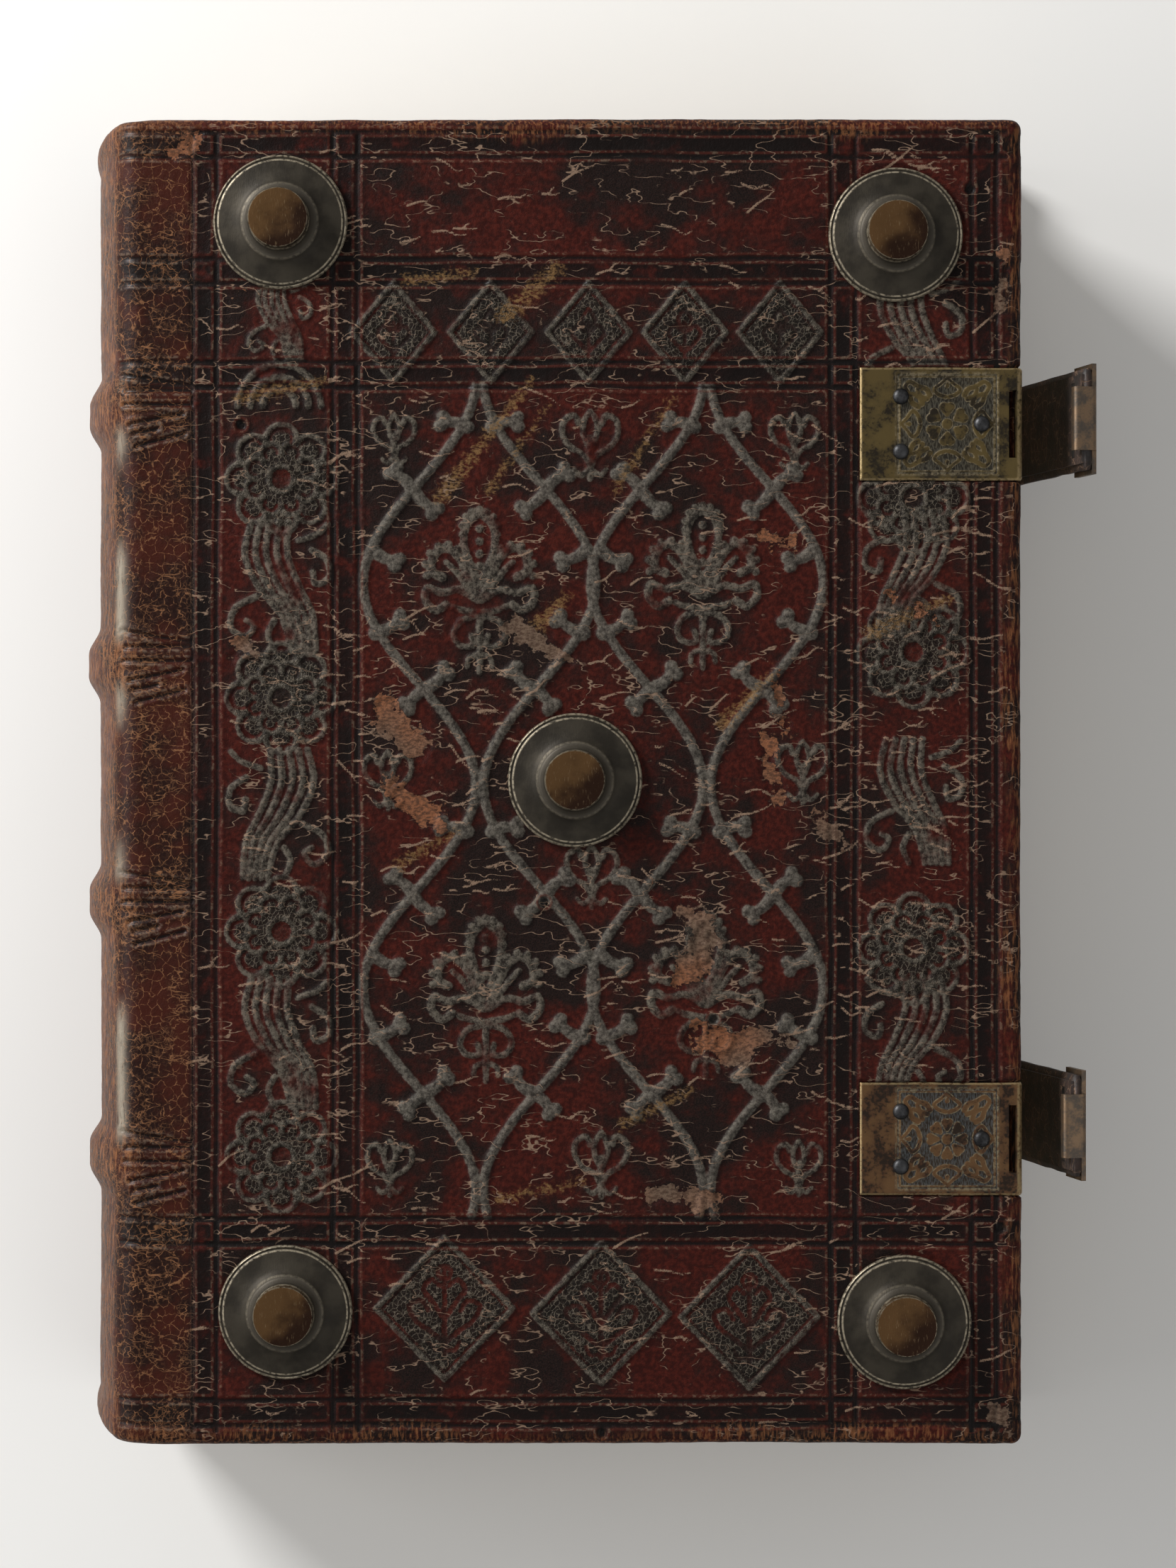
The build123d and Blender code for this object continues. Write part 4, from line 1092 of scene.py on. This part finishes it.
class Finish:
    """A material with its nodes."""

    def __init__(self, name):
        self.material = bpy.data.materials.new(name)
        self.material.use_nodes = True
        self.tree = self.material.node_tree
        self.surface = self.tree.nodes["Principled BSDF"]
        sockets = {"Vector": self.node("TexCoord", out="Object"), "Scale": 1 / MM}
        self.place = self.node("VectorMath", {"operation": "SCALE"}, sockets)

    def set(self, socket, value):
        if isinstance(value, Value):
            self.tree.links.new(value.socket, socket)
        elif isinstance(value, tuple) and len(value) == 3 and len(socket.default_value) == 4:
            socket.default_value = (*value, 1.0)
        else:
            socket.default_value = value

    def node(self, kind, settings=None, sockets=None, out=0):
        made = self.tree.nodes.new("ShaderNode" + kind)
        for label, setting in (settings or {}).items():
            setattr(made, label, setting)
        pairs = enumerate(sockets) if isinstance(sockets, list) else (sockets or {}).items()
        for label, value in pairs:
            self.set(made.inputs[label], value)
        return Value(self, made.outputs[out])

    def carried(self, label):
        return self.node("Attribute", {"attribute_name": label}, out="Fac")

    def stretched(self, x, y, z):
        return self.node("VectorMath", {"operation": "MULTIPLY"}, [self.place, (x, y, z)])

    def noise(self, scale, detail=4.0, vector=None):
        sockets = {"Vector": vector or self.place, "Scale": scale, "Detail": detail, "Roughness": 0.55}
        return self.node("TexNoise", None, sockets, out="Fac")

    def warped(self, amount, scale):
        cloud = self.node("TexNoise", None, {"Vector": self.place, "Scale": scale}, out="Color")
        sockets = [cloud, (amount,) * 3, self.place]
        return self.node("VectorMath", {"operation": "MULTIPLY_ADD"}, sockets)

    def cracks(self, scale, width, vector):
        """1 along the edges of a broken pattern and 0 between."""
        sockets = {"Vector": vector, "Scale": scale}
        edge = self.node("TexVoronoi", {"feature": "DISTANCE_TO_EDGE"}, sockets, out="Distance")
        return 1 - edge.between(0.0, width)

    def hairs(self, scale, vector, width):
        """1 along thin wandering lines and 0 between."""
        middle = self.noise(scale, 2.5, vector) - 0.5
        return 1 - middle.math("ABSOLUTE", middle).between(0.002, width)

    def mix(self, share, first, second):
        sockets = {"Factor": share, 6: first, 7: second}
        return self.node("Mix", {"data_type": "RGBA"}, sockets, out=2)

    def bump(self, height, distance, strength):
        sockets = {"Height": height, "Distance": distance * MM, "Strength": strength}
        return self.node("Bump", None, sockets)

    def coat(self, colour, rough, normal=None, **sockets):
        """The finished material; a socket such as Coat Weight is written coat_weight."""
        sockets.update(base_color=colour, roughness=rough)
        if normal:
            sockets["normal"] = normal
        for label, value in sockets.items():
            label = label.replace("_", " ").title().replace("Ior", "IOR")
            self.set(self.surface.inputs[label], value)
        return self.material


print("finish tools ready")


# %% [markdown]
# ## Tooled leather
# Calf that was tanned red-brown and has gone nearly black in patches. The stems are rubbed grey, with a
# painted sheen in that grey; stamped ground is olive-grey and crazed, short tan cracks cross everything, and
# worn places show the orange middle of the hide. Grooves and holes are painted near black as shade, and
# their lips carry a painted highlight. The back is browner and crackled all over, with a painted highlight
# along its shoulder.

# %% Leather of covers and back
def tooled_leather():
    finish = Finish("tooled_leather")
    stem, stamp, line = (finish.carried(label) for label in ("stem", "stamp", "line"))
    gap, scrape, flay = (finish.carried(label) for label in ("between", "scrape", "flay"))
    wear, back, shoulder = (finish.carried(label) for label in ("wear", "spine", "shoulder"))
    stamped, hollow = finish.carried("ground"), finish.carried("hollow")
    cloud, patch, grain = finish.noise(0.03, 2.0), finish.noise(0.14, 4.0), finish.noise(0.9, 4.0)
    fine = finish.noise(3.2, 2.0)
    red = finish.mix(grain.between(0.35, 0.7), (0.024, 0.0048, 0.0036), (0.054, 0.0092, 0.0058))
    dark = finish.mix(fine.between(0.3, 0.7), (0.0055, 0.0038, 0.0034), (0.016, 0.0085, 0.007))
    ground = finish.mix((cloud + patch * 0.9).between(0.80, 1.10), red, dark)
    brown = finish.mix((patch + cloud).between(0.8, 1.15), (0.036, 0.0080, 0.0044), (0.012, 0.0046, 0.0034))
    ground = finish.mix(back, ground, brown)
    ground = finish.mix(gap * patch.between(0.25, 0.45) * 0.88, ground, (0.0055, 0.0038, 0.0034))

    # Crazed ground, stamps and stems with a painted sheen, then the fillets: painted shade in their grooves
    # and a painted highlight on their lips.
    ragged = (grain - 0.5) * 1.2
    broken_place = finish.warped(1.3, 0.7)
    crazed = finish.cracks(0.85, 0.14, broken_place)
    pitted = finish.mix(fine.between(0.35, 0.7), (0.0055, 0.0042, 0.0036), (0.018, 0.0145, 0.0115))
    pitted = finish.mix(crazed * (grain + fine * 0.5).between(0.45, 0.85), pitted, (0.105, 0.087, 0.065))
    sunk = (hollow + ragged * 0.4).between(-0.2, 0.2)
    on_ground = (stamped + ragged * 2).between(-0.5, 0.6) * (1 - sunk * 0.9)
    colour = finish.mix(on_ground * 0.92, ground, pitted)
    on_stamp = (stamp + ragged * 0.6).between(-0.3, 0.15)
    grey = (grain + fine * 0.5).between(0.55, 0.95)
    grey = finish.mix(grey, (0.016, 0.0135, 0.011), (0.105, 0.090, 0.070))
    colour = finish.mix(on_stamp * patch.between(0.25, 0.5) * 0.9, colour, grey)
    on_stem = (stem + ragged * 0.5).between(-0.25, 0.3)
    # Stem colour: rubbed grey leather, with a painted sheen mixed into that grey.
    stem_grey_and_sheen = (grain + fine * 0.4).between(0.45, 0.9)
    stem_grey_and_sheen = finish.mix(stem_grey_and_sheen, (0.022, 0.019, 0.016), (0.115, 0.102, 0.083))
    stem_grey_and_sheen = finish.mix(crazed * fine.between(0.4, 0.6) * 0.6, stem_grey_and_sheen, (0.014, 0.0115, 0.010))
    colour = finish.mix(on_stem * 0.92, colour, stem_grey_and_sheen)
    # Painted shade: fillet grooves, tie lines, worm holes and the pocket under each plate's slot are
    # coloured near black.
    groove = 1 - line.between(0.12, 0.65)
    colour = finish.mix(groove * 0.88, colour, (0.0032, 0.0024, 0.0022))
    # Painted highlight: the lips beside the grooves are coloured pale.
    lip = line.between(0.6, 0.9) * (1 - line.between(1.1, 1.6))
    lip_highlight_colour = finish.mix(grain.between(0.5, 0.62), (0.062, 0.014, 0.009), (0.125, 0.080, 0.054))
    lip_highlight_colour = finish.mix(back, lip_highlight_colour, (0.150, 0.105, 0.075))
    shown = finish.mix(back, patch.between(0.3, 0.5) * 0.6, grain.between(0.42, 0.62) * 0.5)
    colour = finish.mix(lip * shown, colour, lip_highlight_colour)

    # Tan cracks: short strokes on the covers, a net on the back.
    level = finish.stretched(0.4, 1.0, 1.0)
    stroke = finish.hairs(0.22, level, 0.012) * patch.between(0.46, 0.56)
    stroke = stroke.most((finish.carried("crack") + (fine - 0.5) * 0.5).between(-0.2, 0.0))
    dense = patch.between(0.45, 0.65) * 0.5 + wear * 0.5
    net = finish.cracks(0.4, 0.05, broken_place).most(crazed * dense)
    net = net * back * grain.between(0.35, 0.6)
    crack = stroke.most(net)
    tan = finish.mix(back, (0.20, 0.132, 0.090), (0.185, 0.084, 0.038))
    colour = finish.mix(crack * 0.85, colour, tan)

    # Scrapes, flayed places with a painted shadow round their edge, worn edges and a painted highlight on
    # the shoulder.
    fibre = finish.noise(1.4, 3.0, finish.stretched(0.7, 1.2, 1.0))
    scraped = (scrape + (grain - 0.5) * 7.0).between(-0.4, 1.6) * fibre.between(0.36, 0.6)
    ochre = finish.mix(fine.between(0.3, 0.7), (0.105, 0.058, 0.022), (0.19, 0.11, 0.046))
    colour = finish.mix(scraped * 0.8, colour, ochre)
    tear = flay - 0.5 + (grain - 0.5) * 6.0 + (patch - 0.5) * 14.0
    torn = tear.between(-0.1, 0.25)
    orange = finish.mix(cloud.between(0.4, 0.6), (0.185, 0.074, 0.036), (0.120, 0.080, 0.055))
    orange = finish.mix(fibre.between(0.6, 0.38) * 0.75, orange, (0.045, 0.024, 0.016))
    # Painted shadow: a dark ragged edge round each flayed place.
    colour = finish.mix(tear.between(-1.0, -0.2) * 0.6, colour, (0.010, 0.0065, 0.0055))
    colour = finish.mix(torn * 0.92, colour, orange)
    strand = finish.noise(0.8, 4.0, finish.stretched(1.8, 0.3, 1.8))
    rubbed = wear * strand.between(0.46, 0.66)
    colour = finish.mix(rubbed * 0.75, colour, (0.21, 0.085, 0.034))
    # Painted highlight: a pale grey streak along the back's shoulder, between the bands.
    shoulder_highlight = shoulder * strand.between(0.2, 0.5)
    colour = finish.mix(shoulder_highlight * 0.9, colour, (0.25, 0.215, 0.165))

    rough = 0.5 + (grain - 0.5) * 0.35 + crack * 0.2 + scraped * 0.2 - back * 0.08
    height = grain * 0.5 + fine * 0.25 + crazed * on_ground * 0.5
    return finish.coat(colour, rough, finish.bump(height, 0.4, 0.9), specular_ior_level=0.06,
                       coat_weight=back * 0.08 + groove * 0.1, coat_roughness=0.3)


leather_finish = tooled_leather()
print(leather_finish.name, len(leather_finish.node_tree.nodes), "nodes")


# %% [markdown]
# ## Metals
# The bosses are bronze gone olive-black on the disc and rubbed golden on the cap, with painted highlights on
# the cap's upper left, on the neck and on the turned rings. The plates are brass with dark patina in the
# engraving, painted highlights along its outlines and along the fold; the lower one has turned orange and
# blue-grey.

# %% Bronze, brass and iron
def bronze():
    finish = Finish("boss_bronze")
    radius, across, up = (finish.carried(label) for label in ("radius", "across", "up"))
    cloud, grain = finish.noise(0.18, 5.0), finish.noise(1.1, 5.0)
    scratch = finish.noise(1.2, 4.0, finish.stretched(3.2, 0.5, 1.0))
    disc = finish.mix(cloud.between(0.35, 0.65), (0.020, 0.0165, 0.0120), (0.036, 0.0300, 0.0215))
    # Cap colour: rubbed gold, painted lighter towards the upper left where the light falls.
    cap_gold_and_painted_light = ((up - across) * 0.05 + cloud).between(0.2, 0.75)
    cap_gold_and_painted_light = finish.mix(cap_gold_and_painted_light, (0.026, 0.0125, 0.0075), (0.105, 0.056, 0.023))
    cap = 1 - radius.between(7.0, 7.2)
    # Painted highlight: a lighter ring on the neck.
    neck = radius.between(7.2, 7.8) * (1 - radius.between(8.8, 9.4))
    disc = finish.mix(neck * 0.6, disc, (0.070, 0.060, 0.046))
    colour = finish.mix(cap, disc, cap_gold_and_painted_light)
    # Painted highlights: thin bright rings on the rim beads, the cap's edge and the neck's foot.
    bright = (radius.between(15.4, 15.7) + radius.between(14.55, 14.8) * (1 - radius.between(14.9, 15.2))
              + radius.between(6.85, 7.0) * (1 - radius.between(7.1, 7.4)) + radius.between(8.7, 9.0)
              * (1 - radius.between(9.2, 9.5)) * 0.2)
    colour = finish.mix(bright * grain.between(0.3, 0.6) * 0.8, colour, (0.33, 0.28, 0.20))
    colour = finish.mix(scratch.between(0.6, 0.7) * cap * 0.35, colour, (0.26, 0.18, 0.10))
    rough = 0.44 + cloud * 0.15 - bright * 0.1 - cap * 0.08
    return finish.coat(colour, rough, finish.bump(grain + scratch, 0.06, 0.5), metallic=0.5 + cap * 0.35,
                       specular_ior_level=0.2)


def plate_brass(name, clean, worn, sunk):
    finish = Finish(name)
    cut, square, rubbed = (finish.carried(label) for label in ("cut", "square", "rubbed"))
    cloud, grain = finish.noise(0.16, 6.0), finish.noise(1.1, 6.0)
    hatch = finish.noise(1.5, 2.0, finish.stretched(2.4, 0.5, 1.0))
    colour = finish.mix(cloud.between(0.36, 0.64), clean, worn)
    colour = finish.mix((grain * 0.7 + cloud).between(0.82, 1.0) * 0.85, colour, (0.014, 0.0105, 0.0075))
    field_ground = finish.mix(hatch.between(0.42, 0.58), (0.016, 0.014, 0.011), sunk)
    inside = square.between(-0.3, 0.2)
    low = 1 - cut.between(-0.12, 0.06)
    # Painted highlight: a pale line along the outlines of the engraved shapes.
    rim = cut.between(-0.2, -0.02) * (1 - cut.between(0.04, 0.22))
    colour = finish.mix(inside * low * 0.85, colour, field_ground)
    colour = finish.mix(inside * rim * grain.between(0.4, 0.62) * 0.75, colour, (0.22, 0.175, 0.105))
    # Rubbed bright edges, and a painted highlight along the fold.
    colour = finish.mix(rubbed * grain.between(0.3, 0.55) * 0.75, colour, (0.34, 0.25, 0.125))
    rough = 0.36 + cloud * 0.25 + inside * low * 0.12
    return finish.coat(colour, rough, finish.bump(grain + hatch * inside * low, 0.08, 0.6), metallic=0.8)


def plain_metal(name, clean, tarnish):
    finish = Finish(name)
    cloud, grain = finish.noise(0.3, 5.0), finish.noise(1.8, 4.0)
    colour = finish.mix((cloud + grain * 0.5).between(0.6, 0.95), clean, tarnish)
    return finish.coat(colour, 0.34 + cloud * 0.25, finish.bump(grain, 0.06, 0.5), metallic=0.85)


boss_finish = bronze()
plate_finishes = (
    plate_brass("upper_brass", (0.105, 0.073, 0.026), (0.048, 0.035, 0.015), (0.070, 0.064, 0.048)),
    plate_brass("lower_brass", (0.125, 0.066, 0.028), (0.066, 0.031, 0.016), (0.060, 0.066, 0.067)),
)
nail_finish = plain_metal("nail_bronze", (0.050, 0.050, 0.052), (0.018, 0.0175, 0.018))
hook_finish = plain_metal("hook_brass", (0.165, 0.108, 0.066), (0.078, 0.064, 0.052))
print("metals ready")


# %% [markdown]
# ## Strap leather, paper, wood and cord
# The straps are near black with rough tan edges. The page edges show their sheets as fine lines. The
# boards are oak, seen where the pastedown ends; the cords are linen.

# %% Other materials
def strap_leather():
    finish = Finish("strap_leather")
    grain, patch = finish.noise(1.2, 5.0), finish.noise(0.2, 5.0)
    crack = finish.cracks(0.35, 0.07, finish.warped(2.0, 0.4)) * patch.between(0.42, 0.6)
    colour = finish.mix(patch.between(0.35, 0.65), (0.011, 0.007, 0.0055), (0.034, 0.017, 0.0115))
    colour = finish.mix(crack.most(grain.between(0.62, 0.76)) * 0.6, colour, (0.20, 0.115, 0.065))
    return finish.coat(colour, 0.5 + grain * 0.25, finish.bump(grain - crack, 0.2, 0.7))


def page_edges():
    finish = Finish("page_paper")
    sheets = finish.noise(1.0, 3.0, finish.stretched(0.006, 0.006, 4.0))
    stain, fleck = finish.noise(0.03, 5.0), finish.noise(0.7, 4.0)
    colour = finish.mix(sheets.between(0.35, 0.65), (0.36, 0.27, 0.16), (0.62, 0.52, 0.36))
    colour = finish.mix(stain.between(0.5, 0.8) * 0.35, colour, (0.33, 0.235, 0.13))
    colour = finish.mix(fleck.between(0.64, 0.78) * 0.4, colour, (0.26, 0.18, 0.10))
    return finish.coat(colour, 0.82 + fleck * 0.1, finish.bump(sheets, 0.25, 0.8))


def plain_stuff(name, pale, deep, stretch, rough):
    finish = Finish(name)
    thread = finish.noise(0.6, 6.0, finish.stretched(*stretch))
    cloud = finish.noise(0.05, 4.0)
    colour = finish.mix((thread + cloud * 0.5).between(0.5, 0.95), pale, deep)
    return finish.coat(colour, rough + thread * 0.1, finish.bump(thread, 0.15, 0.6))


strap_finish = strap_leather()
page_finish = page_edges()
paste_finish = plain_stuff("pastedown_paper", (0.60, 0.49, 0.33), (0.36, 0.26, 0.15), (1.0, 1.0, 1.0), 0.8)
wood_finish = plain_stuff("oak_board", (0.30, 0.17, 0.085), (0.14, 0.075, 0.036), (1.6, 0.06, 1.6), 0.65)
cord_finish = plain_stuff("linen_cord", (0.52, 0.43, 0.29), (0.26, 0.19, 0.11), (2.0, 2.0, 2.0), 0.85)
print("materials:", len(bpy.data.materials))


# %% [markdown]
# ## Putting it together
# Most pieces ride on the body of the CAD node that they stand for; every piece gets its finish, and the
# nodes it stands for are hidden. The nodes that stay get a finish too.

# %% Bodies, slots and finishes
def dress(piece, finish, body=None, stands_for=()):
    piece.data.materials.clear()
    piece.data.materials.append(finish)
    if stands_for:
        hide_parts(*stands_for)
    if body:
        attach(piece, body)


for piece in front_pieces:
    dress(piece, leather_finish, "front_cover",
          ["front_leather"] if piece.name == "tooled_panel" else [])
dress(front_joint_skin, leather_finish, None, ["spine_leather"])
(spine_x - 1) * MM
book_top * MM
(spine_x + 4.5) * MM
book_top * MM
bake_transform(front_joint_skin)
dress(back_skin, leather_finish, None, ["back_leather"])
(spine_x - 1) * MM
(spine_x + 4.5) * MM
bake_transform(back_skin)
dress(pages, page_finish, "text_block", ["text_block"])
dress(bosses, boss_finish, "front_cover", ["bosses"])
for plate, finish, name in zip(plates, plate_finishes, ("upper", "lower")):
    dress(plate, finish, "front_cover", [f"{name}_catch_plate"])
dress(plate_nails, nail_finish, "front_cover", ["catch_rivets"])
for name, strap in straps.items():
    dress(strap, strap_finish, None, [f"{name}_strap", f"{name}_strap_root"])
    middle_y = (strap_boxes[name][0][1] + strap_boxes[name][1][1]) / 2 * MM
    fold_x * MM
    fold_x * MM
    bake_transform(strap)

kept = {"board": wood_finish, "pegs": wood_finish, "pastedown": paste_finish, "slip": cord_finish,
        "band": cord_finish, "lining": strap_finish, "nails": nail_finish, "rivets": nail_finish,
        "hook": hook_finish}
for name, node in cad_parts.items():
    if not node.hide_render:
        dress(node, next(finish for word, finish in kept.items() if word in name))
print("dressed nodes:", len(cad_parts))


# %% [markdown]
# ## Stage
# The camera looks straight down, as the photograph does. A large soft lamp stands low on the upper left
# so that the tooling casts short shadows, with a weaker one opposite and an even sky.

# %% Floor, lamps and camera
floor_size, floor_gap = 12, 0.0004  # in metres
bpy.ops.object.select_all(action="DESELECT")
bpy.ops.mesh.primitive_plane_add(size=floor_size, location=(0, 0, -floor_gap))
floor = bpy.context.object
floor.name = "floor"
floor_finish = Finish("pale_floor")
floor_tone = floor_finish.mix(floor_finish.noise(0.004), (0.70, 0.69, 0.67), (0.76, 0.75, 0.73))
floor.data.materials.append(floor_finish.coat(floor_tone, 0.9))
floor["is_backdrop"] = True

lamps = (  # name, place, width, watts
    ("key_lamp", (-0.95, 0.80, 0.62), 0.4, 24.0),
    ("spine_lamp", (-1.10, 0.00, 0.55), 0.6, 4.5),
    ("fill_lamp", (0.90, -0.60, 1.20), 1.2, 4.0),
)
for name, place, width, watts in lamps:
    bpy.ops.object.light_add(type="AREA", location=place)
    lamp = bpy.context.object
    lamp.name = name
    lamp.data.size = width
    lamp.data.energy = watts
    lamp.rotation_euler = (-lamp.location).to_track_quat("-Z", "Y").to_euler()

world = bpy.data.worlds.new("studio")
bpy.context.scene.world = world
world.use_nodes = True
world.node_tree.nodes["Background"].inputs["Color"].default_value = (1.0, 1.0, 1.0, 1.0)
world.node_tree.nodes["Background"].inputs["Strength"].default_value = 0.4

bpy.ops.object.camera_add(location=(0.0015, -0.0006, 0.968), rotation=(0, 0, 0))
camera = bpy.context.object
camera.data.sensor_fit = "VERTICAL"
camera.data.sensor_height = 36.0
camera.data.lens = 86.2
bpy.context.scene.camera = camera
bpy.context.scene.view_settings.view_transform = "Standard"
print("camera", tuple(round(c, 4) for c in camera.location))

# %% Size of the dressed scene
low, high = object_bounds()
print("visual box (mm):", [round((b - a) / MM, 1) for a, b in zip(low, high)])
